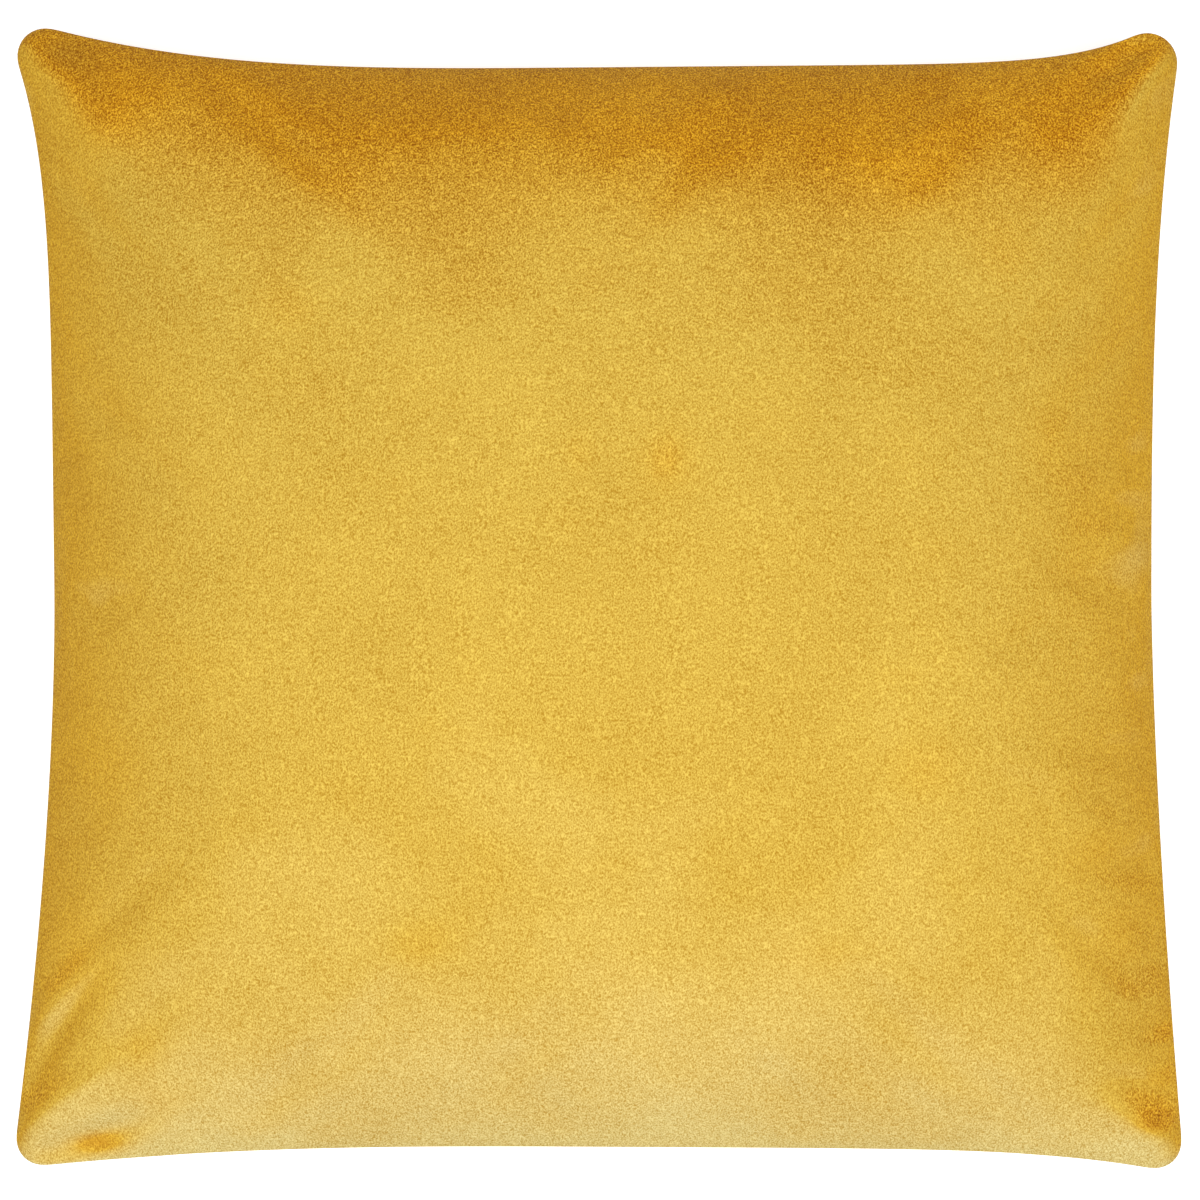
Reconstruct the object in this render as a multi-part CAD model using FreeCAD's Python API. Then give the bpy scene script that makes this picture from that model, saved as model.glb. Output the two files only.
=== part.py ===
import FreeCAD, Part
import math
import os

# Throw pillow, mm. X across the front, Y up the front, Z out of the front panel.
# The pillow lies on its back: z = 0 is the floor, x = y = 0 is the middle of the ear-to-ear box.

# overall size
cushion_w = 450.0  # ear to ear, across
cushion_h = 439.0  # ear to ear, up
front_rise = 60.0  # middle of the front panel above its own edge
back_rise = 62.0  # the same for the back panel before the floor flattens it
rest_depth = 60.0  # seam plane above the floor
edge_h = 2.0  # half thickness of the folded edge
ear_r = 10.5
ear_r_least = 4.0  # rounding left at the corners of the innermost layers

# each corner of the outline before rounding: how far past the nominal corner it points (x, y)
ear_tl = (7.1, 6.2)
ear_tr = (2.5, 10.1)
ear_bl = (1.6, 0.6)
ear_br = (1.3, 3.1)

# each side bows in: (depth at the middle, power towards its first corner, power towards its last)
side_top = (23.2, 3.4, 8.4)
side_bottom = (9.7, 2.8, 5.4)
side_left = (19.2, 1.7, 5.4)
side_right = (13.5, 1.5, 3.0)
side_points = 7  # from the middle of a side to its corner

# how a panel fills out: swell_low and swell_high lift it towards the edges before it drops to the seam
swell_low = 0.4
swell_high = 1.2

# cover cloth
velvet_t = 1.2
edge_wall = 2.5
allow_w = 11.0
allow_t = 1.0
seam_gap = 0.05  # each panel from the seam plane
thread_t = 0.3
lay_gap = 0.03  # a thread above the cloth it lies on
seam_thread_in = 3.1
overlock_reach = 1.2  # bite of the overlock into the allowance
overlock_t = 0.25
overlock_gap = 0.05

# zip: closed end towards -X, its middle plane a little behind the seam plane
zip_len = 320.0
zip_setback = 1.9  # zip line inside the outline at mid-side
zip_drop = 2.5
back_band_d = 11.0  # depth of the back panel's stiff hem below the seam plane
slit_half = 0.8
lip_d = 2.0
bay_half = 3.65
band_extra = 8.0  # hem beyond each end of the zip
bay_extra = 3.0
bay_past = 4.0  # room for the zip past the allowances
tape_extra = 1.0
tape_t = 0.4
tape_gap = 0.05
tape_w = 8.45  # leg of the folded tape, inwards from its flange
coil_d = 2.05
coil_half = 2.1
coil_core = 1.1
coil_pitch = 1.2
coil_start_gap = 0.3  # from the slider's post
tooth_w = 0.5
tooth_cross = 0.35  # how far a tooth passes the middle plane
slider_len = 9.0
slider_half = 2.85
slider_wall = 0.5
slider_plate = 0.9
slider_gap = 0.25
slider_round = 1.2
slider_wing_in = 1.2  # wings shorter than the plate at each end
slider_lap = 0.2  # wings and post let into the plate
wing_gap = 0.3  # wings start behind the coil's outer face
neck_half = 0.5
post_len = 2.8
crown_out = 2.6  # middle of the crown bar outside the lips
crown_half = 0.6
crown_round = 0.48
foot_len = 1.2
foot_gap = 0.8  # between the crown's foot and the lips' line
eye_hole_r = 1.0
eye_r = 1.6
eye_gap = 0.4
groove_gap = 0.35
pull_len = 24.0
pull_w = 7.0
pull_t = 1.0
pull_hole_w = 3.0
stop_gap = 0.4
top_stop_len = 2.0
bottom_stop_len = 2.5
stop_round = 0.3
stop_split = 0.9  # each top stop from the middle plane
stitch_len = 2.2
stitch_pitch = 3.0
stitch_r = 0.15
stitch_in = 6.0  # zip stitching, inwards from the flange
tack_in = 4.2
tack_w = 2.0
tack_t = 1.2

# care label, left side seam
label_low = -150.0
label_high = -115.0
label_in = 4.2
label_past = 1.0  # past the raw edge
label_t = 0.25
label_gap = 0.1

# insert and filling
insert_side_gap = 1.5  # insert's edge from the cover's raw edges
insert_zip_gap = 0.1  # insert's edge from the room left for the zip
insert_gap = 0.4
insert_t = 0.5
insert_fold_t = 0.6  # its seam allowance
insert_edge_h = 1.5
insert_wall = 1.5
insert_allow_w = 6.0
insert_thread_in = 2.2
closing_len = 160.0
closing_pitch = 5.0
closing_gap = 0.12
closing_t = 0.3
closing_half_h = 1.2
fill_gap = 0.35
edge_power = 16  # how sharply the insert fills out behind its own edge

grid_n = 25
grid_even = 0.3  # share of even spacing; the rest crowds towards the edges
overhang = 1.03
tall = 200.0
past = 1.0  # how far a cutting tool runs past what it cuts
same = 1e-6
meet = 1e-4  # how near two curved bodies count as touching when they are trimmed

half_w = cushion_w / 2
half_h = cushion_h / 2
box_half = cushion_w + cushion_h  # half size of the boxes used for trimming
overlock_in = allow_w - overlock_reach
label_out = allow_w + label_past
insert_in = allow_w + insert_side_gap
bay_d = allow_w + bay_past
insert_zip_extra = zip_setback + bay_d + insert_zip_gap - insert_in

corner_tl = (-half_w - ear_tl[0], half_h + ear_tl[1])
corner_tr = (half_w + ear_tr[0], half_h + ear_tr[1])
corner_bl = (-half_w - ear_bl[0], -half_h - ear_bl[1])
corner_br = (half_w + ear_br[0], -half_h - ear_br[1])


def vec(x, y, z=0.0):
    return FreeCAD.Vector(x, y, z)


def corners(inset, bottom_extra=0.0):
    low = inset + bottom_extra
    return (
        (corner_bl[0] + inset, corner_bl[1] + low),
        (corner_br[0] - inset, corner_br[1] + low),
        (corner_tr[0] - inset, corner_tr[1] - inset),
        (corner_tl[0] + inset, corner_tl[1] - inset),
    )


def side_point(a, b, side, inward, t):
    depth, power_a, power_b = side
    power = power_a if t < 0 else power_b
    bow = depth * (1 - abs(t) ** power)
    s = (t + 1) / 2
    x = a[0] + (b[0] - a[0]) * s + inward[0] * bow
    y = a[1] + (b[1] - a[1]) * s + inward[1] * bow
    return vec(x, y)


def sides(inset, bottom_extra=0.0):
    bl, br, tr, tl = corners(inset, bottom_extra)
    return {
        "bottom": (bl, br, side_bottom, (0, 1)),
        "right": (br, tr, side_right, (-1, 0)),
        "top": (tl, tr, side_top, (0, -1)),
        "left": (bl, tl, side_left, (1, 0)),
    }


# the rounded outline moved in by inset, as a solid from z0 to z1
def block(inset, z0, z1, bottom_extra=0.0):
    edges = []
    ways = [math.sin(math.pi / 2 * i / side_points) for i in range(-side_points, side_points + 1)]
    for name in ("bottom", "right", "top", "left"):
        a, b, side, inward = sides(inset, bottom_extra)[name]
        points = [side_point(a, b, side, inward, t) for t in ways]
        curve = Part.BSplineCurve()
        curve.interpolate(points)
        edges.append(curve.toShape())
    prism = Part.Face(Part.Wire(Part.__sortEdges__(edges))).extrude(vec(0, 0, z1 - z0))
    upright = []
    for edge in prism.Edges:
        a, b = edge.Vertexes[0].Point, edge.Vertexes[-1].Point
        if abs(a.x - b.x) < same and abs(a.y - b.y) < same:
            upright.append(edge)
    prism = prism.makeFillet(max(ear_r - inset, ear_r_least), upright)
    prism.translate(vec(0, 0, z0))
    return prism


def coons(u, v):
    s = sides(0.0)
    low, high = side_point(*s["bottom"], u), side_point(*s["top"], u)
    west, east = side_point(*s["left"], v), side_point(*s["right"], v)
    bl, br, tr, tl = [vec(*c) for c in corners(0.0)]
    a, b = (u + 1) / 2, (v + 1) / 2
    ruled = low * (1 - b) + high * b + west * (1 - a) + east * a
    return ruled - (bl * (1 - a) * (1 - b) + br * a * (1 - b) + tr * a * b + tl * (1 - a) * b)


def bulge(u):
    return (1 - u * u) * (1 + swell_low * u * u + swell_high * u ** 4)


def spacing(low, high):
    mid, half = (low + high) / 2, (high - low) / 2
    out = []
    for i in range(grid_n):
        s = 2 * i / (grid_n - 1) - 1
        out.append(mid + half * (grid_even * s + (1 - grid_even) * math.sin(math.pi / 2 * s)))
    return out


# solid from z = start up to the domed surface, let down by offset and cut off level at flat
def dome(rise, offset, flat, trim, edge=None, inset=0.0, bottom_extra=0.0, start=0.0):
    u_lim = 1 - inset / half_w
    v_low = -1 + (inset + bottom_extra) / half_h
    v_high = 1 - inset / half_h
    v_mid, v_half = (v_low + v_high) / 2, (v_high - v_low) / 2
    rows = []
    for u in spacing(-u_lim * overhang, u_lim * overhang):
        row = []
        for v in spacing(v_mid - v_half * overhang, v_mid + v_half * overhang):
            z = edge_h + rise * bulge(u) * bulge(v) - offset
            if edge is not None:
                fade_u = 1 - abs(u / u_lim) ** edge_power
                fade_v = 1 - abs((v - v_mid) / v_half) ** edge_power
                z = edge + (z - edge) * fade_u * fade_v
            point = coons(u, v)
            row.append(vec(point.x, point.y, z))
        rows.append(row)
    surface = Part.BSplineSurface()
    surface.interpolate(rows)
    under = surface.toShape().extrude(vec(0, 0, -tall))
    prism = block(trim, start, flat, bottom_extra)
    return largest(under.common(prism))


def box(x0, x1, y0, y1, z0, z1):
    return Part.makeBox(x1 - x0, y1 - y0, z1 - z0, vec(x0, y0, z0))


def largest(shape):
    return max(shape.Solids, key=lambda s: s.Volume)


def flip(shape):
    return shape.mirror(vec(0, 0, 0), vec(0, 0, 1))


def ring(inset, width, z0, z1, bottom_extra=0.0):
    middle = block(inset + width, z0 - past, z1 + past, bottom_extra)
    return block(inset, z0, z1, bottom_extra).cut(middle)


# zip frame: y_zip is the line the lips meet on, z_zip its middle plane
y_zip = (corner_bl[1] + corner_br[1]) / 2 + side_bottom[0] + zip_setback
z_zip = -zip_drop
zip_half = zip_len / 2
band_half = zip_half + band_extra
bay_half_x = zip_half + bay_extra
flange_d = lip_d + tape_gap
coil_near = flange_d + tape_t + tape_gap
coil_far = coil_near + coil_d
plate_near = coil_far + slider_gap
slider_far = plate_near + slider_plate
slider_x = -zip_half + top_stop_len + stop_gap + slider_len / 2
post_x1 = slider_x - slider_len / 2 + post_len
foot_x0 = slider_x + slider_len / 2 - foot_len
crown_y = y_zip - crown_out


def zip_box(x0, x1, d0, d1, h0, h1):
    return box(x0, x1, y_zip + d0, y_zip + d1, z_zip + h0, z_zip + h1)


def rod_x(x0, x1, y, z, r):
    return Part.makeCylinder(r, x1 - x0, vec(x0, y, z), vec(1, 0, 0))


slit = zip_box(-zip_half, zip_half, -tall, lip_d + past, -slit_half, slit_half)
bay = zip_box(-bay_half_x, bay_half_x, lip_d, bay_d, -bay_half, bay_half)
groove = rod_x(-bay_half_x, bay_half_x, crown_y, z_zip, eye_r + groove_gap)
zip_allow_d = tape_w + flange_d


def cover_shell(rise, flat):
    outer = dome(rise, 0.0, flat, 0.0, start=seam_gap)
    allowance = ring(0.0, allow_w, 0.0, allow_t)
    cavity = dome(rise, velvet_t, flat - velvet_t, edge_wall).cut(allowance)
    return outer, outer.cut(cavity)


front_outer, front_shell = cover_shell(front_rise, tall / 2)
hem_low = z_zip + slit_half
shelf_top = z_zip + bay_half + allow_t
hem = block(0.0, hem_low, seam_gap).common(
    box(-band_half, band_half, -box_half, y_zip + lip_d, hem_low, seam_gap)
)
shelf = front_outer.common(
    box(-band_half, band_half, -box_half, y_zip + zip_allow_d, seam_gap, shelf_top)
)
front_band = shelf.fuse(hem)
cover_front = largest(front_shell.fuse(front_band).cut(bay).cut(slit).cut(groove).removeSplitter())

back_outer, back_shell = cover_shell(back_rise, rest_depth)
back_outer = flip(back_outer)
back_shell = flip(back_shell)
lip_top = z_zip - slit_half
shelf_low = z_zip - bay_half - allow_t
clear = seam_gap * 2
notch = box(-band_half - clear, band_half + clear, -box_half, y_zip, -tall, tall)
hem_room = box(
    -band_half - clear, band_half + clear, -box_half, y_zip + lip_d + clear, hem_low - clear, tall
)
band_plain = box(-band_half, band_half, y_zip, y_zip + zip_allow_d, shelf_low, lip_top)
band_deep = back_outer.common(
    box(-band_half, band_half, y_zip, y_zip + zip_allow_d, -back_band_d, lip_top)
)
back_band = band_plain.fuse(band_deep)
cover_back = largest(
    back_shell.cut(notch).cut(hem_room).fuse(back_band).cut(bay).cut(slit).cut(groove).removeSplitter()
)

# sewing inside the cover
seam_end = band_half + past
no_seam = box(-seam_end, seam_end, -box_half, y_zip + allow_w + past, -tall, tall)
thread_up = ring(seam_thread_in, thread_t, allow_t + lay_gap, allow_t + lay_gap + thread_t)
seam_up = thread_up.cut(no_seam)
cover_seam_thread = Part.Compound(seam_up.Solids + flip(seam_up).Solids)

wrap_half = allow_t + overlock_gap + overlock_t
wrap = ring(overlock_in, overlock_reach + overlock_gap + overlock_t, -wrap_half, wrap_half)
raw_half = wrap_half - overlock_t
raw_edge = ring(overlock_in - past, overlock_reach + past + overlock_gap, -raw_half, raw_half)
cover_overlock_thread = largest(wrap.cut(raw_edge).cut(no_seam))

label_box = box(-box_half, 0, label_low, label_high, -tall, tall)
label_z = wrap_half + label_gap
label_ring = ring(label_in, label_out - label_in, label_z, label_z + label_t)
care_label = largest(label_ring.common(label_box))


# zip
def tape(sign):
    x0, x1 = -zip_half - tape_extra, zip_half + tape_extra
    top = bay_half - tape_gap
    flange = zip_box(x0, x1, flange_d, flange_d + tape_t, slit_half, top)
    leg = zip_box(x0, x1, flange_d, flange_d + tape_w, top - tape_t, top)
    whole = flange.fuse(leg).removeSplitter()
    return whole if sign > 0 else mirror_zip(whole)


def mirror_zip(shape):
    return shape.mirror(vec(0, 0, z_zip), vec(0, 0, 1))


# comb of teeth on a core: its outline in the X-Z plane, drawn inwards
def coil(phase):
    x0 = post_x1 + coil_start_gap
    x1 = zip_half - bottom_stop_len - 2 * stop_gap
    core = coil_half - coil_core
    points = [vec(x1, 0, coil_half), vec(x0, 0, coil_half), vec(x0, 0, core)]
    n = int((x1 - x0 - coil_pitch) / coil_pitch)
    for i in range(n):
        a = x0 + (i + phase) * coil_pitch + tooth_w / 2
        b = a + tooth_w
        points += [vec(a, 0, core), vec(a, 0, -tooth_cross), vec(b, 0, -tooth_cross), vec(b, 0, core)]
    points += [vec(x1, 0, core)]
    points.append(points[0])
    comb = Part.Face(Part.makePolygon(points)).extrude(vec(0, coil_d, 0))
    comb.translate(vec(0, y_zip + coil_near, z_zip))
    return comb


zip_tape_front = tape(1)
zip_tape_back = tape(-1)
zip_coil_front = coil(0.0)
zip_coil_back = mirror_zip(coil(0.5))

s0, s1 = slider_x - slider_len / 2, slider_x + slider_len / 2
plate = zip_box(s0, s1, plate_near, slider_far, -slider_half, slider_half)
plate_corners = []
for edge in plate.Edges:
    a, b = edge.Vertexes[0].Point, edge.Vertexes[1].Point
    if abs(a.x - b.x) < same and abs(a.z - b.z) < same:
        plate_corners.append(edge)
plate = plate.makeFillet(slider_round, plate_corners)
inner_far = plate_near + slider_lap
wing_x0, wing_x1 = s0 + slider_wing_in, s1 - slider_wing_in
wing = zip_box(wing_x0, wing_x1, coil_near + wing_gap, inner_far, slider_half - slider_wall, slider_half)
post = zip_box(s0, post_x1, -crown_out, inner_far, -neck_half, neck_half)
crown = zip_box(s0, s1, -crown_out - crown_half, -crown_out + crown_half, -crown_half, crown_half)
foot = zip_box(foot_x0, s1, -crown_out, -foot_gap, -crown_half, crown_half)
zip_slider = plate.fuse([wing, mirror_zip(wing), post, crown, foot]).removeSplitter()
crown_ends = []
for edge in zip_slider.Edges:
    mid = edge.CenterOfMass
    if abs(edge.Length - 2 * crown_half) < same and mid.y < crown_y and abs(mid.z - z_zip) < same:
        crown_ends.append(edge)
zip_slider = zip_slider.makeFillet(crown_round, crown_ends)

eye_x0, eye_x1 = post_x1 + eye_gap, foot_x0 - eye_gap
pull_x = (eye_x0 + eye_x1) / 2
eye = rod_x(eye_x0, eye_x1, crown_y, z_zip, eye_r)
tip_r = pull_w / 2
neck_w = (eye_x1 - eye_x0) / 2
tip_z = z_zip - pull_len + tip_r
left_top = vec(pull_x - neck_w, 0, z_zip)
right_top = vec(pull_x + neck_w, 0, z_zip)
left_low = vec(pull_x - tip_r, 0, tip_z)
right_low = vec(pull_x + tip_r, 0, tip_z)
outline = Part.Wire(
    [
        Part.makeLine(left_top, left_low),
        Part.Arc(left_low, vec(pull_x, 0, tip_z - tip_r), right_low).toShape(),
        Part.makeLine(right_low, right_top),
        Part.makeLine(right_top, left_top),
    ]
)
tab = Part.Face(outline).extrude(vec(0, pull_t, 0))
tab.translate(vec(0, crown_y - pull_t / 2, 0))
window_at = vec(pull_x, crown_y - pull_t - past, tip_z)
window = Part.makeCylinder(pull_hole_w / 2, 2 * (pull_t + past), window_at, vec(0, 1, 0))
hole = rod_x(eye_x0 - past, eye_x1 + past, crown_y, z_zip, eye_hole_r)
zip_pull = largest(eye.fuse(tab).cut(window).cut(hole).removeSplitter())

stop_x1 = s0 - stop_gap
stop_up = zip_box(stop_x1 - top_stop_len, stop_x1, coil_near, slider_far, stop_split, slider_half)
stop_up = stop_up.makeFillet(stop_round, stop_up.Edges)
zip_top_stops = Part.Compound([stop_up, mirror_zip(stop_up)])
stop_x0 = zip_half - bottom_stop_len - stop_gap
low_stop = zip_box(stop_x0, stop_x0 + bottom_stop_len, coil_near, slider_far, -slider_half, slider_half)
zip_bottom_stop = low_stop.makeFillet(stop_round, low_stop.Edges)

stitches = []
stitch_h = bay_half - tape_gap - tape_t - lay_gap - stitch_r
stitch_y = y_zip + flange_d + stitch_in
stitch_n = int(zip_len / stitch_pitch)
for i in range(stitch_n):
    x = (i - (stitch_n - 1) / 2) * stitch_pitch
    up = rod_x(x - stitch_len / 2, x + stitch_len / 2, stitch_y, z_zip + stitch_h, stitch_r)
    stitches += [up, mirror_zip(up)]
zip_stitching = Part.Compound(stitches)

tack_half = bay_half - tape_gap - tape_t - lay_gap
tack_d = flange_d + tack_in
tack_right = zip_box(zip_half - tack_t, zip_half, tack_d, tack_d + tack_w, -tack_half, tack_half)
tack_left = tack_right.mirror(vec(0, 0, 0), vec(1, 0, 0))
zip_bar_tacks = Part.Compound([tack_left, tack_right])

# insert
cloth_off = velvet_t + insert_gap


# the room inside the insert, that far below its outer face
def insert_space(rise, flat, below):
    off = cloth_off + below
    trim = insert_in + insert_wall + below - insert_t
    return dome(rise, off, flat - off, trim, insert_edge_h - below, insert_in, insert_zip_extra)


def insert_shell(rise, flat):
    outer = dome(
        rise, cloth_off, flat - cloth_off, insert_in, insert_edge_h, insert_in, insert_zip_extra, seam_gap
    )
    cavity = insert_space(rise, flat, insert_t)
    allowance = ring(insert_in, insert_allow_w, 0.0, insert_fold_t, insert_zip_extra)
    return largest(outer.cut(cavity.cut(allowance)))


insert_front = insert_shell(front_rise, tall / 2)
insert_back = flip(insert_shell(back_rise, rest_depth))
insert_z = insert_fold_t + lay_gap
insert_row = ring(insert_in + insert_thread_in, thread_t, insert_z, insert_z + thread_t, insert_zip_extra)
insert_layer = insert_space(front_rise, tall / 2, insert_t + lay_gap).common(
    box(-box_half, box_half, -box_half, box_half, insert_z - past, insert_z + thread_t + past)
)
insert_up = insert_row.common([insert_layer], meet)
insert_seam_thread = Part.Compound(insert_up.Solids + flip(insert_up).Solids)

closing = []
closing_n = int(closing_len / closing_pitch)
a, b, side, inward = sides(insert_in)["top"]
for i in range(closing_n):
    x = (i - (closing_n - 1) / 2) * closing_pitch
    t = 2 * (x - a[0]) / (b[0] - a[0]) - 1
    y = side_point(a, b, side, inward, t).y + closing_gap
    x0, x1 = x - closing_t / 2, x + closing_t / 2
    closing.append(box(x0, x1, y, y + closing_t, -closing_half_h, closing_half_h))
insert_closing_thread = Part.Compound(closing)


def fill_half(rise, flat):
    low = insert_z + thread_t + fill_gap
    body = insert_space(rise, flat, insert_t + fill_gap)
    return body.cut(ring(insert_in, insert_allow_w + fill_gap, -past, low, insert_zip_extra))


fibre_fill = largest(
    fill_half(front_rise, tall / 2).fuse(flip(fill_half(back_rise, rest_depth))).removeSplitter()
)

parts = {
    "cover_front": cover_front,
    "cover_back": cover_back,
    "cover_seam_thread": cover_seam_thread,
    "cover_overlock_thread": cover_overlock_thread,
    "care_label": care_label,
    "zip_tape_front": zip_tape_front,
    "zip_tape_back": zip_tape_back,
    "zip_coil_front": zip_coil_front,
    "zip_coil_back": zip_coil_back,
    "zip_slider": zip_slider,
    "zip_pull": zip_pull,
    "zip_top_stops": zip_top_stops,
    "zip_bottom_stop": zip_bottom_stop,
    "zip_stitching": zip_stitching,
    "zip_bar_tacks": zip_bar_tacks,
    "insert_front": insert_front,
    "insert_back": insert_back,
    "insert_seam_thread": insert_seam_thread,
    "insert_closing_thread": insert_closing_thread,
    "fibre_fill": fibre_fill,
}

os.makedirs("parts", exist_ok=True)
for name, shape in parts.items():
    shape.translate(vec(0, 0, rest_depth))
    shape.exportStep("parts/" + name + ".step")
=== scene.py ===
import bpy
import bmesh
import math
import numpy as np
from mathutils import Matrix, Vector, noise


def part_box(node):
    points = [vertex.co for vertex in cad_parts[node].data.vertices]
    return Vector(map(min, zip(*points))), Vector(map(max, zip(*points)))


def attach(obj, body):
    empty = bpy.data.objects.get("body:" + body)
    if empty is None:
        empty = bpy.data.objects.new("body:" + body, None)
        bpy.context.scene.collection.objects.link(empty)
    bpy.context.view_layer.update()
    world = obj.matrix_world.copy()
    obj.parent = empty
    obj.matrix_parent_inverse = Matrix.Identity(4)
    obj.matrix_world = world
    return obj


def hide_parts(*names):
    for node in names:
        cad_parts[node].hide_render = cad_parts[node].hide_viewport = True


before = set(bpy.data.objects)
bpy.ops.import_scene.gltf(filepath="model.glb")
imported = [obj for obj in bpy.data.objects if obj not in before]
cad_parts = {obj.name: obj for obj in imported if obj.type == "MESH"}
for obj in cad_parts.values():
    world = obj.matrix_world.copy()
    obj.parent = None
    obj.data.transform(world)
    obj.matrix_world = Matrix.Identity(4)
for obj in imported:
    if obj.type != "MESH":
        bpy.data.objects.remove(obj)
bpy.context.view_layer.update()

frontLow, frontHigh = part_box("cover_front")
backLow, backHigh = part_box("cover_back")
sliderLow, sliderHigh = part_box("zip_slider")
tapeLow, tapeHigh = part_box("zip_tape_front")
tapeBackLow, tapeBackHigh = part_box("zip_tape_back")
mm = 0.001

pillow = {
    "midX": (frontLow.x + frontHigh.x) / 2,
    "midY": (frontLow.y + frontHigh.y) / 2,
    "halfWide": (frontHigh.x - frontLow.x) / 2,
    "halfHigh": (frontHigh.y - frontLow.y) / 2,
    "seamZ": backHigh.z + 0.05 * mm,
    "topZ": frontHigh.z,
    "floorZ": backLow.z,
    "cells": 96,
    "edgeHalf": 1.6 * mm,  # half thickness of the rolled edge
    "clothThick": 0.9 * mm,
}

# the two lips of the zip and the line they meet on
zipLine = {
    "y": tapeLow.y - 2.05 * mm,
    "z": (sliderLow.z + sliderHigh.z) / 2,
    "half": (tapeHigh.x - tapeLow.x) / 2 - 1.0 * mm,
    "fade": 9.0 * mm,
    "slit": 0.8 * mm,
}

# how far each pointed corner stands off the ear-to-ear box, before it is rounded
earPoint = {
    "bottomLeft": (-1.6, -0.6),
    "bottomRight": (1.3, -3.1),
    "topRight": (2.5, 10.1),
    "topLeft": (-7.1, 6.2),
}
# each side bows in: depth at the middle, then how late it turns towards each corner
sideBow = {
    "bottom": (9.7, 2.8, 5.4, (0, 1)),
    "right": (13.5, 1.5, 3.0, (-1, 0)),
    "top": (23.2, 3.4, 8.4, (0, -1)),
    "left": (19.2, 1.7, 5.4, (1, 0)),
}
earRound = 10.5 * mm


def cornerPoint(name):
    dx, dy = earPoint[name]
    wide = pillow["halfWide"] * (1 if "Right" in name else -1)
    high = pillow["halfHigh"] * (1 if "top" in name else -1)
    return np.array([pillow["midX"] + wide + dx * mm, pillow["midY"] + high + dy * mm])


def curveThrough(a, b, c, count=24, weight=1.0):
    # round turn from a to c with its tangents meeting at b
    t = np.linspace(0, 1, count)[:, None]
    parts = (1 - t) ** 2, 2 * weight * t * (1 - t), t ** 2
    return (parts[0] * a + parts[1] * b + parts[2] * c) / sum(parts)


def lengthRun(line):
    return np.concatenate([[0], np.cumsum(np.hypot(*np.diff(line, axis=0).T))])


def alongLine(line, distance):
    run = lengthRun(line)
    return np.stack([np.interp(distance, run, line[:, k]) for k in range(line.shape[1])], -1), run[-1]


def pointedSide(name):
    ends = {
        "bottom": ("bottomLeft", "bottomRight"),
        "right": ("bottomRight", "topRight"),
        "top": ("topLeft", "topRight"),
        "left": ("bottomLeft", "topLeft"),
    }[name]
    depth, powerA, powerB, inward = sideBow[name]
    t = np.linspace(-1, 1, 401)
    power = np.where(t < 0, powerA, powerB)
    bow = depth * mm * (1 - np.abs(t) ** power)
    a, b = cornerPoint(ends[0]), cornerPoint(ends[1])
    line = a + (b - a) * ((t + 1) / 2)[:, None] + np.array(inward) * bow[:, None]
    return ends, line


def roundedSides():
    pointed = {name: pointedSide(name) for name in sideBow}
    lines = {}
    for name, (ends, line) in pointed.items():
        lines[name, ends[0]] = line
        lines[name, ends[1]] = line[::-1]
    arcs, starts = {}, {}
    for corner in earPoint:
        names = [key[0] for key in lines if key[1] == corner]
        point = cornerPoint(corner)
        aims = [alongLine(lines[name, corner], 1.4 * earRound)[0] - point for name in names]
        cosine = aims[0] @ aims[1] / np.hypot(*aims[0]) / np.hypot(*aims[1])
        half = math.acos(cosine) / 2
        reach = earRound / math.tan(half)
        meet = [alongLine(lines[name, corner], reach)[0] for name in names]
        arc = curveThrough(meet[0], point, meet[1], 41, math.sin(half))
        arcs[names[0], corner], arcs[names[1], corner] = arc[20::-1], arc[20:]
        for name in names:
            starts[name, corner] = reach
    sides = {}
    for name, (ends, line) in pointed.items():
        total = alongLine(line, 0.0)[1]
        first, last = ends
        middle = alongLine(line, np.linspace(starts[name, first], total - starts[name, last], 300))[0]
        sides[name] = np.concatenate([arcs[name, first][:-1], middle, arcs[name, last][::-1][1:]])
    return sides


outlineSides = roundedSides()

sideRuns = {name: lengthRun(line) for name, line in outlineSides.items()}


def onSide(name, w):
    line, run = outlineSides[name], sideRuns[name]
    distance = (np.asarray(w) + 1) / 2 * run[-1]
    return np.stack([np.interp(distance, run, line[:, 0]), np.interp(distance, run, line[:, 1])], -1)


def flatPoint(u, v):
    # the pillow's outline filled in, u and v from -1 to 1
    u, v = np.broadcast_arrays(np.asarray(u, float), np.asarray(v, float))
    a, b = ((u + 1) / 2)[..., None], ((v + 1) / 2)[..., None]
    low, high = onSide("bottom", u), onSide("top", u)
    west, east = onSide("left", v), onSide("right", v)
    bl, br = onSide("bottom", -1.0), onSide("bottom", 1.0)
    tl, tr = onSide("top", -1.0), onSide("top", 1.0)
    ruled = low * (1 - b) + high * b + west * (1 - a) + east * a
    return ruled - (bl * (1 - a) * (1 - b) + br * a * (1 - b) + tr * a * b + tl * (1 - a) * b)


def bulge(w):
    return (1 - w * w) * (1 + 0.4 * w * w + 1.2 * w ** 4)


def spread(g):
    # cells get narrower towards the seam
    return 0.8 * g + 0.2 * np.sin(math.pi / 2 * g)


def smoothStep(x, low, high):
    t = np.clip((x - low) / (high - low), 0, 1)
    return t * t * (3 - 2 * t)


def nearZip(x):
    return 1 - smoothStep(np.abs(x), zipLine["half"], zipLine["half"] + zipLine["fade"])


def gridIndex(vert, across, along):
    # row and column of a vertex of a fresh grid
    return round((vert.co.x + 1) / 2 * across), round((vert.co.y + 1) / 2 * along)


def mapCloth(bm, flatMap):
    # the flat cut becomes the piece's own map
    uvLayer = bm.loops.layers.uv.new("cloth")
    for face in bm.faces:
        face.smooth = True
        for loop in face.loops:
            loop[uvLayer].uv = flatMap[loop.vert]


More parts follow.
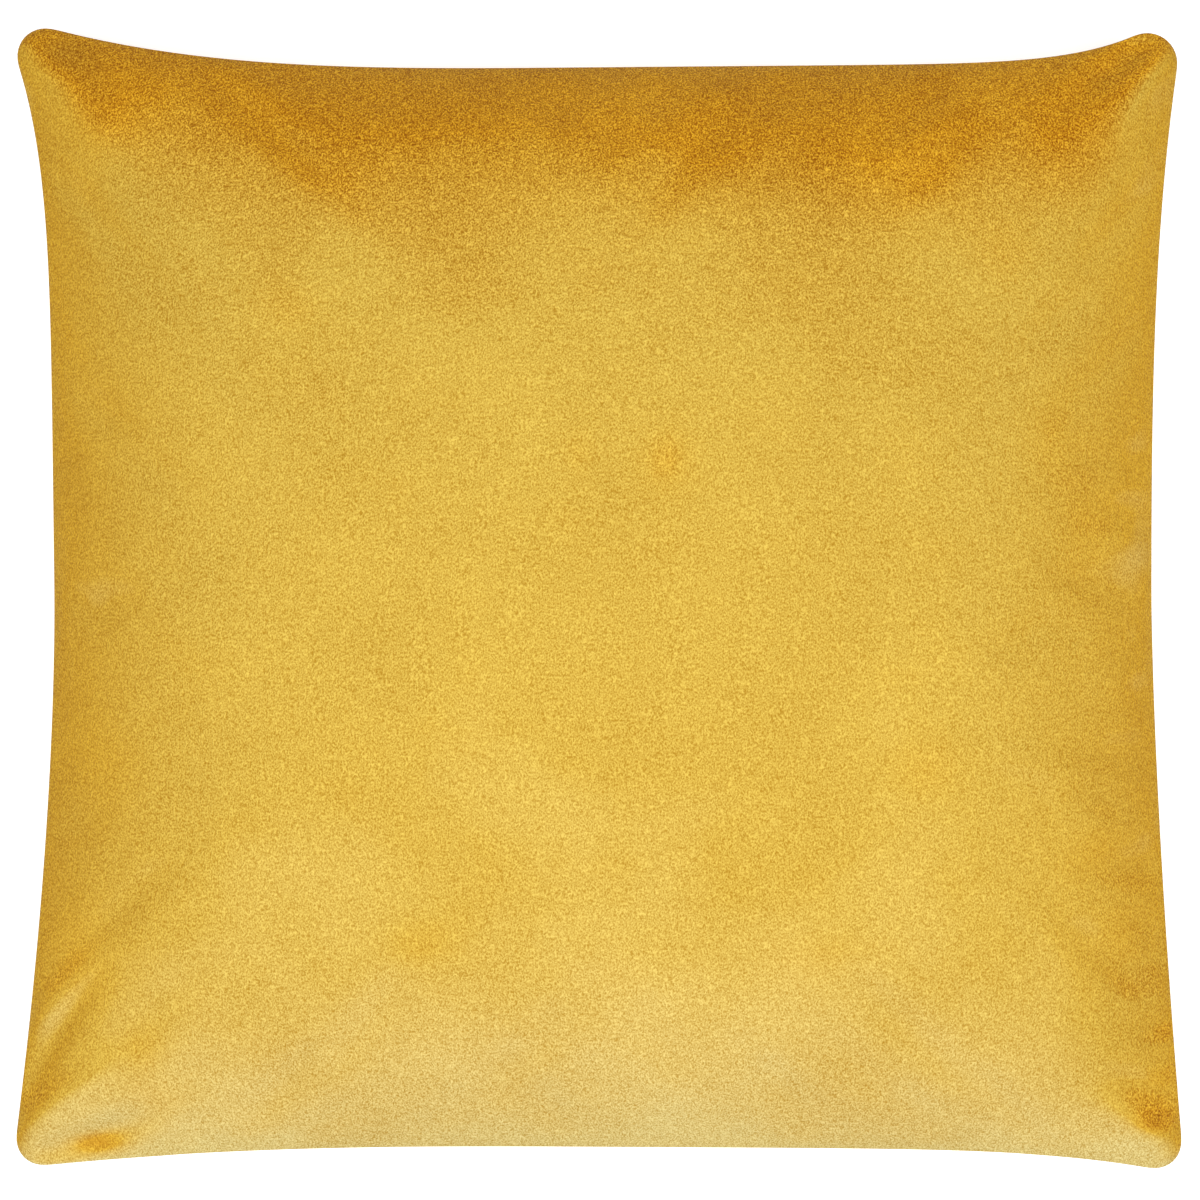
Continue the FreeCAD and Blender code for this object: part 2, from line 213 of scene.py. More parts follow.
def gridWays(cells):
    ways = spread(np.linspace(-1, 1, cells + 1))
    return np.meshgrid(ways, ways, indexing="ij")


# the stuffed shape comes from a short cloth simulation
stuffing = {
    "start": 0.93,  # of the final height
    "frames": 24,
    "cap": 14.0 * mm,  # the furthest that a point may move from its start
    "rise": pillow["topZ"] - pillow["seamZ"] - pillow["edgeHalf"],
    "cloth": {
        "quality": 6,
        "mass": 0.3,
        "air_damping": 4.0,
        "tension_stiffness": 22.0,
        "compression_stiffness": 22.0,
        "shear_stiffness": 8.0,
        "bending_stiffness": 2.5,
        "use_pressure": True,
        "uniform_pressure_force": 3.6,
        "shrink_min": -0.002,  # below 0 the cloth is longer than the outline
        "shrink_max": -0.002,
        "vertex_group_mass": "seam",
    },
}


def makeBag(cells, height):
    bm = bmesh.new()
    bmesh.ops.create_grid(bm, x_segments=cells, y_segments=cells, size=1.0)
    sideLayer = bm.verts.layers.float.new("side")
    for vert in bm.verts:
        vert[sideLayer] = 1.0
    copy = bmesh.ops.duplicate(bm, geom=bm.verts[:] + bm.edges[:] + bm.faces[:])["geom"]
    for vert in [g for g in copy if isinstance(g, bmesh.types.BMVert)]:
        vert[sideLayer] = -1.0
    bmesh.ops.reverse_faces(bm, faces=[g for g in copy if isinstance(g, bmesh.types.BMFace)])
    gLayer = bm.verts.layers.float.new("gridU")
    hLayer = bm.verts.layers.float.new("gridV")
    u, v = gridWays(cells)
    flat = flatPoint(u, v)
    for vert in bm.verts:
        i, j = gridIndex(vert, cells, cells)
        vert[gLayer], vert[hLayer] = i, j
        z = height[i, j] * vert[sideLayer]
        vert.co = (flat[i, j, 0], flat[i, j, 1], z)
    bmesh.ops.remove_doubles(bm, verts=bm.verts[:], dist=1e-6)
    mesh = bpy.data.meshes.new("bag")
    bm.to_mesh(mesh)
    bm.free()
    bag = bpy.data.objects.new("bag", mesh)
    bpy.context.scene.collection.objects.link(bag)
    return bag


def readBag(mesh, like, cells):
    count = len(mesh.vertices)
    co = np.zeros(count * 3)
    mesh.vertices.foreach_get("co", co)
    co = co.reshape(-1, 3)
    layers = {}
    for key in ("side", "gridU", "gridV"):
        values = np.zeros(count)
        like.attributes[key].data.foreach_get("value", values)
        layers[key] = values
    i = np.rint(layers["gridU"]).astype(int)
    j = np.rint(layers["gridV"]).astype(int)
    seam = (i == 0) | (j == 0) | (i == cells) | (j == cells)
    out = {}
    for side in (1, -1):
        keep = (np.sign(layers["side"]) == side) | seam
        grid = np.zeros((cells + 1, cells + 1, 3))
        grid[i[keep], j[keep]] = co[keep]
        out[side] = grid
    return out


def stuffBag():
    cells = pillow["cells"]
    u, v = gridWays(cells)
    height = stuffing["rise"] * bulge(u) * bulge(v)
    bag = makeBag(cells, height * stuffing["start"])
    pins = bag.vertex_groups.new(name="seam")
    boundary = [k for k, vert in enumerate(bag.data.vertices) if abs(vert.co.z) < 1e-7]
    pins.add(boundary, 1.0, "REPLACE")
    cloth = bag.modifiers.new("stuffing", "CLOTH")
    for key, value in stuffing["cloth"].items():
        setattr(cloth.settings, key, value)
    cloth.settings.effector_weights.gravity = 0.0
    cloth.collision_settings.use_collision = False
    cloth.collision_settings.use_self_collision = False
    cloth.point_cache.frame_start = 1
    cloth.point_cache.frame_end = stuffing["frames"]
    for step in range(1, stuffing["frames"] + 1):
        bpy.context.scene.frame_set(step)
    graph = bpy.context.evaluated_depsgraph_get()
    stuffed = bag.evaluated_get(graph).to_mesh()
    shape = readBag(stuffed, bag.data, cells)
    bag.evaluated_get(graph).to_mesh_clear()
    bpy.context.scene.frame_set(1)
    mesh = bag.data
    bpy.data.objects.remove(bag)
    bpy.data.meshes.remove(mesh)
    flat = flatPoint(u, v)
    for side, grid in shape.items():
        start = np.dstack([flat, side * height * stuffing["start"]])
        move = grid - start
        size = np.linalg.norm(move, axis=2, keepdims=True)
        move *= np.minimum(1, stuffing["cap"] / np.maximum(size, 1e-9))
        grid[:] = start + move
        grid[..., 2] *= side * stuffing["rise"] / np.abs(grid[..., 2]).max()
    return shape


stuffed = stuffBag()
print("stuffed shape done", {s: round(float(g[..., 2].max()), 4) for s, g in stuffed.items()})

ears = {"puff": 5.5 * mm, "reach": 42 * mm, "roll": 7 * mm}

# soft folds of the front panel: ends in mm from the pillow's middle, half width and height in mm
frontFolds = [
    ((-223, -204), (-193, -182), 5.0, 3.4),
    ((-221, -190), (-194, -147), 4.5, -3.4),
    ((-214, -160), (-190, -134), 5.5, 2.4),
    ((-211, -215), (-181, -201), 6.0, -6.0),
    ((-186, -214), (-166, -204), 5.0, 0.9),
    ((-180, -168), (-152, -140), 8.0, -0.8),
    ((-172, -192), (-150, -178), 8.0, -0.6),
    ((220, 208), (196, 178), 6.5, 2.0),
    ((213, 216), (184, 192), 5.5, -3.8),
    ((196, 210), (170, 190), 7.0, 0.8),
    ((206, 178), (192, 150), 7.5, 0.7),
    ((216, 20), (190, 18), 6.0, 1.6),
    ((214, 34), (188, 33), 5.0, -1.6),
    ((214, 56), (180, 50), 6.0, -1.4),
    ((214, -26), (192, -30), 5.0, 1.8),
    ((213, -58), (184, -60), 6.0, -1.8),
    ((184, -66), (148, -57), 5.0, 1.3),
    ((214, -86), (186, -84), 5.0, 1.9),
    ((216, -103), (188, -101), 5.0, -2.0),
    ((217, -116), (196, -114), 4.5, 1.4),
    ((220, -140), (200, -138), 4.5, -1.9),
    ((221, -153), (202, -153), 4.0, 1.6),
    ((222, -163), (206, -165), 4.0, -1.7),
    ((222, -191), (200, -184), 4.0, -2.4),
    ((218, -206), (192, -194), 5.0, 2.2),
    ((-214, 204), (-190, 176), 6.5, 0.9),
    ((-204, 210), (-176, 182), 6.5, -0.8),
]
backFolds = [
    ((-218, -202), (-190, -170), 6.0, 1.3),
    ((-206, -208), (-178, -184), 6.0, -1.1),
    ((220, -202), (188, -166), 7.0, 1.4),
    ((206, -208), (176, -182), 6.0, -1.0),
    ((214, 213), (190, 178), 7.0, 1.3),
    ((200, 211), (178, 184), 7.0, -1.1),
    ((-216, 208), (-186, 170), 7.0, 1.2),
    ((-204, 210), (-174, 180), 6.5, -0.9),
    ((214, -20), (186, -24), 7.0, 0.8),
    ((214, 44), (184, 40), 7.0, -0.7),
    ((-212, 52), (-180, 50), 8.0, 0.7),
    ((-212, -40), (-184, -38), 7.0, -0.7),
]


def foldRelief(folds, x, y):
    total = np.zeros_like(x)
    for (ax, ay), (bx, by), half, high in folds:
        along = np.array([bx - ax, by - ay]) * mm
        length = np.hypot(*along)
        along /= length
        px, py = x - ax * mm - pillow["midX"], y - ay * mm - pillow["midY"]
        s = (px * along[0] + py * along[1]) / length
        across = (px * -along[1] + py * along[0]) / (half * mm)
        ends = smoothStep(s, -0.5, 0.1) * (1 - smoothStep(s, 0.6, 1.6))
        total += high * mm * ends * np.exp(-across ** 2)
    return total


def drift(x, y, cell, seed):
    # slow unevenness of the stuffing under the cloth
    shift = Vector((seed * 3.1, seed * 1.7, seed))
    flat = np.stack([x.ravel(), y.ravel()], -1) / cell
    values = [noise.noise(Vector((p[0], p[1], 0.0)) + shift) for p in flat]
    return np.array(values).reshape(x.shape)


coverForm = {
    "fade": 6 * mm,  # folds and lumps die out this far from the seam
    "lump": 60 * mm,
    "lumpHigh": 1.0 * mm,
    "pucker": 16 * mm,
    "puckerHigh": 0.35 * mm,
    "puckerReach": 34 * mm,
    "leastSlope": 0.25,
    "lipReach": 22 * mm,  # how far the back is drawn in towards the zip's line
    "lipDeep": 3.6 * mm,
    "restSoft": 1.2 * mm,  # rounding where the back starts to rest on the floor
    "restGap": 0.1 * mm,
}


def coverSurface(side):
    cells = pillow["cells"]
    u, v = gridWays(cells)
    grid = stuffed[side].copy()
    x, y, z = grid[..., 0], grid[..., 1], grid[..., 2]
    edge = np.minimum(1 - np.abs(u), 1 - np.abs(v)) * pillow["halfWide"]
    inside = smoothStep(edge, 0.0, coverForm["fade"])
    apartX, apartY = (1 - np.abs(u)) * pillow["halfWide"], (1 - np.abs(v)) * pillow["halfHigh"]
    inEar = np.exp(-(apartX / ears["reach"]) ** 2 - (apartY / ears["reach"]) ** 2)
    z += ears["puff"] * inEar * (1 - np.exp(-(edge / ears["roll"])))
    z += foldRelief(frontFolds if side > 0 else backFolds, x, y) * inside
    z += drift(x, y, coverForm["lump"], 4 + side) * coverForm["lumpHigh"] * inside
    puckers = drift(x, y, coverForm["pucker"], 9 + side) * coverForm["puckerHigh"]
    z += puckers * inside * np.exp(-(edge / coverForm["puckerReach"]) ** 2)
    z[:] = np.maximum(z, coverForm["leastSlope"] * edge) + pillow["edgeHalf"]
    if side < 0:
        line = onSide("bottom", u)[..., 1]
        fromSeam = (1 + v) * pillow["halfHigh"] / coverForm["lipReach"]
        near = nearZip(x) * np.where(v < 0, np.exp(-fromSeam ** 2), 0)
        y += (zipLine["y"] - line) * near
        z += coverForm["lipDeep"] * near
        rest = pillow["seamZ"] - pillow["floorZ"] - coverForm["restGap"]
        soft = coverForm["restSoft"]
        z[:] = rest - soft * np.logaddexp(0, (rest - z) / soft)
        z[:] = np.maximum(z, 0)
    else:
        z *= (pillow["topZ"] - pillow["seamZ"]) / z.max()
    grid[..., 2] = pillow["seamZ"] + side * z
    return grid


# rolled edge and seam allowance: inward distance and height off the seam plane, mm
plainTurn = [(0.15, 0.9), (0.7, 0.3), (1.6, 0.1), (3.0, 0.08), (5.0, 0.08), (11.0, 0.08)]
frontZipTurn = [(0.1, -0.4), (0.8, -1.4), (2.0, -1.7), (1.9, -1.7), (2.3, 1.1), (10.4, 1.25)]
backZipTurn = [(0.1, 4.1), (0.6, 3.5), (1.3, 3.3), (1.9, 3.3), (2.3, 6.2), (10.4, 6.3)]


def turnPoint(side, ring, u, v):
    inward, rise = plainTurn[ring]
    half = pillow["halfWide"]
    flat = flatPoint(u * (1 - inward * mm / half), v * (1 - inward * mm / half))
    x, y, z = float(flat[0]), float(flat[1]), rise
    if v < -0.999:
        near = float(nearZip(x))
        zipInward, zipRise = (frontZipTurn if side > 0 else backZipTurn)[ring]
        line = float(onSide("bottom", u)[1])
        if side > 0 and ring < 3:
            zipY = line + zipInward * mm
        else:
            zipY = zipLine["y"] + zipInward * mm
        y = y * (1 - near) + zipY * near
        z = rise * (1 - near) + zipRise * near
    return x, y, pillow["seamZ"] + side * z * mm


# places where the nap has been rubbed the other way, with painted shade at the ears and creases (strong
# marks) and painted highlights (negative strength): middle, half width, half height in mm, strength
brushedAndPaintedLightMarks = [
    (25, 50, 9, 12, 0.5),
    (-7, 53, 5, 8, 0.35),
    (-65, -128, 11, 8, 0.35),
    (120, -63, 13, 10, 0.35),
    (-115, 107, 13, 10, 0.3),
    (114, 172, 26, 24, 1.1),
    (-190, 188, 24, 22, 1.1),
    (38, 180, 24, 18, 0.9),
    (182, 178, 24, 28, 0.9),
    (-60, 190, 34, 12, 0.8),
    (-110, 190, 24, 14, 0.6),
    (-96, 160, 16, 12, 0.35),
    (150, 128, 14, 14, 0.25),
    (168, 60, 10, 18, 0.35),
    (184, 30, 12, 18, 0.5),
    (188, -96, 10, 10, 0.4),
    (-188, -64, 14, 12, 0.6),
    (-198, -136, 12, 18, 0.6),
    (200, -128, 10, 12, 0.5),
    (84, -132, 16, 8, 0.25),
    (-171, -170, 9, 11, 0.4),
    (-167, -191, 12, 8, 0.35),
    (-193, -209, 12, 5, 1.9),
    (-205, 209, 16, 10, 1.4),
    (205, 208, 10, 7, 1.3),
    (192, 198, 10, 7, 1.2),
    (206, 22, 7, 12, -0.9),
    (203, -12, 7, 14, -0.7),
    (206, -52, 6, 18, -0.4),
    (208, 176, 6, 26, -0.25),
    (-190, -6, 6, 12, -0.4),
    (214, -200, 9, 5, 1.8),
    (219, -184, 7, 6, 1.3),
    (219, -167, 6, 5, 1.2),
    (205, -190, 10, 10, 0.4),
    (205, -212, 14, 6, -1.0),
    (216, -175, 7, 4, -0.6),
]


def markBrushedAndPaintedLight(bm, side):
    layer = bm.verts.layers.float.new("brushedAndPaintedLight")
    for vert in bm.verts:
        x, y = vert.co.x - pillow["midX"], vert.co.y - pillow["midY"]
        total = 0.0
        for markX, markY, wide, high, strength in brushedAndPaintedLightMarks:
            far = ((x * side - markX * mm) / (wide * mm)) ** 2 + ((y - markY * mm) / (high * mm)) ** 2
            if far < 9:
                total += strength * math.exp(-far)
        rough = noise.noise(Vector((x * 55, y * 55, side * 3.0)))
        vert[layer] = total * (1 + 0.4 * rough)


def clothPanel(name, side, surface, turn, turnCount, thick, brushedAndPaintedLight=False):
    cells = surface.shape[0] - 1
    bm = bmesh.new()
    bmesh.ops.create_grid(bm, x_segments=cells, y_segments=cells, size=1.0)
    uLayer, vLayer = bm.verts.layers.float.new("u"), bm.verts.layers.float.new("v")
    for vert in bm.verts:
        place = surface[gridIndex(vert, cells, cells)]
        vert[uLayer], vert[vLayer] = spread(vert.co.x), spread(vert.co.y)
        vert.co = place
    edges = [edge for edge in bm.edges if edge.is_boundary]
    for ring in range(turnCount):
        geom = bmesh.ops.extrude_edge_only(bm, edges=edges)["geom"]
        edges = [g for g in geom if isinstance(g, bmesh.types.BMEdge) and g.is_boundary]
        for vert in [g for g in geom if isinstance(g, bmesh.types.BMVert)]:
            vert.co = turn(side, ring, vert[uLayer], vert[vLayer])
    wide, high = pillow["halfWide"], pillow["halfHigh"]
    mapCloth(bm, {vert: (vert[uLayer] * wide, vert[vLayer] * high) for vert in bm.verts})
    if side < 0:
        bmesh.ops.reverse_faces(bm, faces=bm.faces[:])
    if brushedAndPaintedLight:
        markBrushedAndPaintedLight(bm, side)
    piece = finishMesh(name, bm)
    fine = piece.modifiers.new("fine", "SUBSURF")
    fine.levels = fine.render_levels = 1
    cloth = piece.modifiers.new("cloth", "SOLIDIFY")
    cloth.thickness = thick
    cloth.offset = -1.0
    return piece


def finishMesh(name, bm):
    mesh = bpy.data.meshes.new(name)
    bm.to_mesh(mesh)
    bm.free()
    piece = bpy.data.objects.new(name, mesh)
    bpy.context.scene.collection.objects.link(piece)
    return piece


def setSockets(node, **values):
    for name, value in values.items():
        node.inputs[name.replace("_", " ")].default_value = value


class Wiring:
    # short hand for placing nodes in one tree
    def __init__(self, tree):
        self.tree = tree
        self.nodes = tree.nodes
        self.column = 0

    def add(self, kind, **settings):
        node = self.nodes.new(kind)
        self.column += 1
        node.location = (self.column % 8 * 200 - 900, -(self.column // 8) * 260)
        for key, value in settings.items():
            setattr(node, key, value)
        return node

    def link(self, fromSocket, toSocket):
        self.tree.links.new(fromSocket, toSocket)

    def math(self, operation, a, b=None, clamp=False):
        node = self.add("ShaderNodeMath", operation=operation, use_clamp=clamp)
        for k, value in enumerate((a, b)):
            if value is None:
                continue
            if isinstance(value, (int, float)):
                node.inputs[k].default_value = value
            else:
                self.link(value, node.inputs[k])
        return node.outputs[0]

    def mix(self, factor, a, b, blend="MIX"):
        node = self.add("ShaderNodeMix", data_type="RGBA", blend_type=blend)
        for socket, value in ((node.inputs[0], factor), (node.inputs[6], a), (node.inputs[7], b)):
            if hasattr(value, "is_linked"):
                self.link(value, socket)
            else:
                socket.default_value = value
        return node.outputs[2]

    def noise(self, vector, scale, detail=2.0, roughness=0.5):
        node = self.add("ShaderNodeTexNoise")
        setSockets(node, Scale=scale, Detail=detail, Roughness=roughness)
        self.link(vector, node.inputs["Vector"])
        return node.outputs["Fac"]

    def stretch(self, vector, scale):
        node = self.add("ShaderNodeMapping")
        setSockets(node, Scale=scale)
        self.link(vector, node.inputs["Vector"])
        return node.outputs["Vector"]

    def spanRange(self, value, low, high, toLow=0.0, toHigh=1.0):
        node = self.add("ShaderNodeMapRange")
        setSockets(node, From_Min=low, From_Max=high, To_Min=toLow, To_Max=toHigh)
        self.link(value, node.inputs["Value"])
        return node.outputs["Result"]

    def put(self, **values):
        # what a group gives out
        out = self.add("NodeGroupOutput")
        for name, socket in values.items():
            self.link(socket, out.inputs[name])


def openGroup(name, inputs, outputs):
    # an input with no starting value is a vector
    tree = bpy.data.node_groups.new(name, "ShaderNodeTree")
    for title, value in inputs.items():
        kind = "NodeSocketVector" if value is None else "NodeSocketFloat"
        socket = tree.interface.new_socket(name=title, in_out="INPUT", socket_type=kind)
        if value is not None:
            socket.default_value = value
    for title in outputs:
        tree.interface.new_socket(name=title, in_out="OUTPUT", socket_type="NodeSocketFloat")
    w = Wiring(tree)
    return tree, w, w.add("NodeGroupInput")


pile = {  # noise scales and how far each shows
    "wander": 260.0,
    "bend": 0.0014,
    "tuft": 1800.0,
    "tuftStretch": (1.0, 0.7, 0.45),
    "tuftShade": 0.42,
    "clump": 330.0,
    "clumpShade": 0.04,
    "patch": 16.0,
    "patchShade": 0.12,
    "brush": 30.0,
}


def velvetPileGroup():
    # short tufts in wandering rows, looser clumps, patches of brushed nap, and which way the surface
    # faces, used for painted sheen and shade
    inputs = {"Vector": None, "Normal": None, "Tuft Amount": 1.0, "Patch Amount": 1.0}
    outputs = ("Shade", "Brushed", "Patch", "Lean", "Tilt", "Height")
    tree, w, source = openGroup("velvetPile", inputs, outputs)
    place = source.outputs["Vector"]
    wander = w.add("ShaderNodeTexNoise", noise_dimensions="3D")
    wander.inputs["Scale"].default_value = pile["wander"]
    w.link(place, wander.inputs["Vector"])
    bend = w.add("ShaderNodeVectorMath", operation="MULTIPLY_ADD")
    w.link(wander.outputs["Color"], bend.inputs[0])
    bend.inputs[1].default_value = (pile["bend"],) * 3
    w.link(place, bend.inputs[2])
    tuft = w.noise(w.stretch(bend.outputs[0], pile["tuftStretch"]), pile["tuft"], 1.0, 0.5)
    tuft = w.spanRange(tuft, 0.3, 0.7, -1.0, 1.0)
    clump = w.noise(place, pile["clump"], 2.0, 0.6)
    clump = w.spanRange(clump, 0.3, 0.7, -1.0, 1.0)
    patch = w.noise(place, pile["patch"], 3.0, 0.5)
    patch = w.spanRange(patch, 0.34, 0.66, -1.0, 1.0)
    brush = w.noise(w.stretch(place, (1.0, 1.3, 1.0)), pile["brush"], 2.0, 0.5)
    brush = w.spanRange(brush, 0.55, 0.8, 0.0, 1.0)
    split = w.add("ShaderNodeSeparateXYZ")
    w.link(source.outputs["Normal"], split.inputs[0])
    fine = w.math("MULTIPLY", tuft, pile["tuftShade"])
    fine = w.math("ADD", fine, w.math("MULTIPLY", clump, pile["clumpShade"]))
    fine = w.math("MULTIPLY", fine, source.outputs["Tuft Amount"])
    broad = w.math("MULTIPLY", patch, pile["patchShade"])
    broad = w.math("MULTIPLY", broad, source.outputs["Patch Amount"])
    w.put(
        Shade=w.math("ADD", w.math("ADD", fine, broad), 0.5, clamp=True),
        Brushed=w.math("MULTIPLY", brush, source.outputs["Patch Amount"]),
        Patch=patch,
        # which way the surface faces, for the velvet's painted sheen and shade
        Lean=w.math("MULTIPLY", split.outputs["Y"], -1.0),
        Tilt=w.math("SUBTRACT", 1.0, w.math("ABSOLUTE", split.outputs["Z"])),
        Height=w.math("ADD", w.math("MULTIPLY", tuft, 0.5), w.math("MULTIPLY", clump, 0.2)),
    )
    return tree


def weaveGroup():
    # over and under of two sets of threads, from a map in metres
    inputs = {"Vector": None, "Threads": 2000.0}
    tree, w, source = openGroup("plainWeave", inputs, ("Height", "Slub"))
    split = w.add("ShaderNodeSeparateXYZ")
    scaled = w.add("ShaderNodeVectorMath", operation="SCALE")
    w.link(source.outputs["Vector"], scaled.inputs[0])
    w.link(source.outputs["Threads"], scaled.inputs["Scale"])
    w.link(scaled.outputs[0], split.inputs[0])
    acrossThread = w.math("ABSOLUTE", w.math("SINE", w.math("MULTIPLY", split.outputs["X"], math.pi)))
    alongThread = w.math("ABSOLUTE", w.math("SINE", w.math("MULTIPLY", split.outputs["Y"], math.pi)))
    turn = w.math("ADD", w.math("FLOOR", split.outputs["X"]), w.math("FLOOR", split.outputs["Y"]))
    over = w.math("MODULO", w.math("ABSOLUTE", turn), 2.0)
    top = w.math("MULTIPLY", acrossThread, over)
    low = w.math("MULTIPLY", alongThread, w.math("SUBTRACT", 1.0, over))
    height = w.math("ADD", top, low)
    w.put(Height=height, Slub=w.noise(source.outputs["Vector"], 240.0, 3.0, 0.6))
    return tree


def wearGroup():
    # small chips and fine scratches on hard parts
    tree, w, source = openGroup("smallWear", {"Vector": None, "Amount": 0.5}, ("Wear", "Scratch"))
    chips = w.noise(source.outputs["Vector"], 1100.0, 3.0, 0.65)
    where = w.noise(source.outputs["Vector"], 190.0, 2.0, 0.5)
    worn = w.math("ADD", w.math("MULTIPLY", chips, 0.6), w.math("MULTIPLY", where, 0.4))
    scratch = w.noise(w.stretch(source.outputs["Vector"], (1.0, 1.0, 0.12)), 5200.0, 2.0, 0.7)
    wear = w.math("MULTIPLY", w.spanRange(worn, 0.62, 0.66), source.outputs["Amount"], clamp=True)
    w.put(Wear=wear, Scratch=scratch)
    return tree


groups = {"pile": velvetPileGroup(), "weave": weaveGroup(), "wear": wearGroup()}


def startMaterial(name):
    material = bpy.data.materials.new(name)
    material.use_nodes = True
    w = Wiring(material.node_tree)
    shader = next(n for n in w.nodes if n.type == "BSDF_PRINCIPLED")
    return material, w, shader


def placeGroup(w, key, vector, **values):
    node = w.add("ShaderNodeGroup")
    node.node_tree = groups[key]
    w.link(vector, node.inputs["Vector"])
    setSockets(node, **values)
    return node


def addBump(w, shader, height, strength, distance):
    bump = w.add("ShaderNodeBump")
    setSockets(bump, Strength=strength, Distance=distance)
    w.link(height, bump.inputs["Height"])
    w.link(bump.outputs["Normal"], shader.inputs["Normal"])


velvet = {
    "flat": (0.56, 0.36, 0.052, 1),
    "towards": (0.585, 0.44, 0.15, 1),  # painted sheen: paler where the surface faces -Y, towards the key light
    "paintedShade": (0.545, 0.24, 0.008, 1),  # painted shade: deeper where the surface faces +Y, away from the key light
    # painted shade on the rims, where the surface tilts away from the overhead light
    "side": (0.56, 0.3, 0.018, 1),
    # brushed nap, with painted shade where the marks are strong
    "brushedAndPaintedLight": (0.57, 0.31, 0.022, 1),
    # painted shade at the ears and creases, where the marks are strongest
    "paintedDeepShade": (0.43, 0.19, 0.01, 1),
    "valley": (0.68, 0.54, 0.2, 1),  # tone between the tufts
    "crest": (1.28, 1.42, 1.72, 1),
    "wander": 0.06,  # random unevenness of the facing that sets the painted sheen and shade
    "gloss": 0.09,
    "sheen": 0.09,
    "sheenRough": 0.5,
    "sheenTint": (1.0, 0.8, 0.25, 1),
}


def velvetMaterial():
    material, w, shader = startMaterial("ochreVelvet")
    place = w.add("ShaderNodeTexCoord").outputs["Object"]
    facing = w.add("ShaderNodeNewGeometry")
    nap = placeGroup(w, "pile", place, Tuft_Amount=1.0, Patch_Amount=0.5)
    w.link(facing.outputs["Normal"], nap.inputs["Normal"])
    rubbedAndPaintedLight = w.add("ShaderNodeAttribute", attribute_name="brushedAndPaintedLight").outputs["Fac"]
    # random brushed nap plus the marks, which are partly painted shade
    brushedAndPaintedLight = w.math("ADD", w.math("MULTIPLY", nap.outputs["Brushed"], 0.3), rubbedAndPaintedLight, clamp=True)
    wander = w.math("MULTIPLY", nap.outputs["Patch"], velvet["wander"])
    # the marks push the facing towards the painted shade
    sheenShadeFacing = w.math("SUBTRACT", nap.outputs["Lean"], w.math("MULTIPLY", rubbedAndPaintedLight, 0.25))
    sheenShadeFacing = w.math("ADD", sheenShadeFacing, wander)
    tilt = w.math("ADD", nap.outputs["Tilt"], w.math("MULTIPLY", wander, 0.4))
    colour = w.mix(w.math("MULTIPLY", brushedAndPaintedLight, 0.75), velvet["flat"], velvet["brushedAndPaintedLight"])
    # painted shade on the rims: darker where the surface tilts
    colour = w.mix(w.spanRange(tilt, 0.02, 0.32), colour, velvet["side"])
    # painted sheen on surfaces facing -Y, painted shade on surfaces facing +Y
    colour = w.mix(w.spanRange(sheenShadeFacing, 0.08, 0.75), colour, velvet["towards"])
    colour = w.mix(w.spanRange(sheenShadeFacing, -0.12, -0.6), colour, velvet["paintedShade"])
    # painted deep shade where the marks are strongest
    colour = w.mix(w.spanRange(rubbedAndPaintedLight, 0.9, 1.9), colour, velvet["paintedDeepShade"])
    tuftTone = w.mix(nap.outputs["Shade"], velvet["valley"], velvet["crest"])
    colour = w.mix(1.0, colour, tuftTone, "MULTIPLY")
    # painted glints and shade: stronger grain contrast where the surface faces +Y
    paintedGlintMask = w.spanRange(sheenShadeFacing, -0.1, -0.5)
    w.link(w.mix(paintedGlintMask, colour, tuftTone, "MULTIPLY"), shader.inputs["Base Color"])
    w.link(w.spanRange(nap.outputs["Height"], -0.6, 0.6, 0.95, 0.78), shader.inputs["Roughness"])
    setSockets(
        shader, Specular_IOR_Level=velvet["gloss"], Sheen_Weight=velvet["sheen"],
        Sheen_Roughness=velvet["sheenRough"], Sheen_Tint=velvet["sheenTint"],
    )
    addBump(w, shader, nap.outputs["Height"], 0.5, 0.35 * mm)
    return material


def wovenMaterial(name, light, dark, threads, bump, coords="UV", rough=0.85, sheen=0.1):
    material, w, shader = startMaterial(name)
    place = w.add("ShaderNodeTexCoord").outputs[coords]
    weave = placeGroup(w, "weave", place, Threads=threads)
    cloth = w.mix(w.spanRange(weave.outputs["Height"], 0.0, 1.0), dark, light)
    slub = w.spanRange(weave.outputs["Slub"], 0.3, 0.7, 0.86, 1.05)
    shaded = w.add("ShaderNodeVectorMath", operation="SCALE")
    w.link(cloth, shaded.inputs[0])
    w.link(slub, shaded.inputs["Scale"])
    w.link(shaded.outputs[0], shader.inputs["Base Color"])
    roughness = w.spanRange(weave.outputs["Height"], 0.0, 1.0, rough + 0.08, rough - 0.08)
    w.link(roughness, shader.inputs["Roughness"])
    setSockets(shader, Sheen_Weight=sheen, Specular_IOR_Level=0.25)
    addBump(w, shader, weave.outputs["Height"], 0.5, bump)
    return material


def threadMaterial(name, light, dark):
    # two plies twisted together
    material, w, shader = startMaterial(name)
    place = w.add("ShaderNodeTexCoord").outputs["Object"]
    ply = w.add("ShaderNodeTexWave", wave_type="BANDS", bands_direction="DIAGONAL")
    setSockets(ply, Scale=420.0, Distortion=1.5)
    w.link(place, ply.inputs["Vector"])
    fuzz = w.noise(place, 2600.0, 3.0, 0.6)
    mixed = w.math("ADD", w.math("MULTIPLY", ply.outputs["Fac"], 0.7), w.math("MULTIPLY", fuzz, 0.4))
    w.link(w.mix(mixed, dark, light), shader.inputs["Base Color"])
    w.link(w.spanRange(fuzz, 0.3, 0.7, 0.55, 0.8), shader.inputs["Roughness"])
    shader.inputs["Sheen Weight"].default_value = 0.2
    addBump(w, shader, ply.outputs["Fac"], 0.4, 0.06 * mm)
    return material


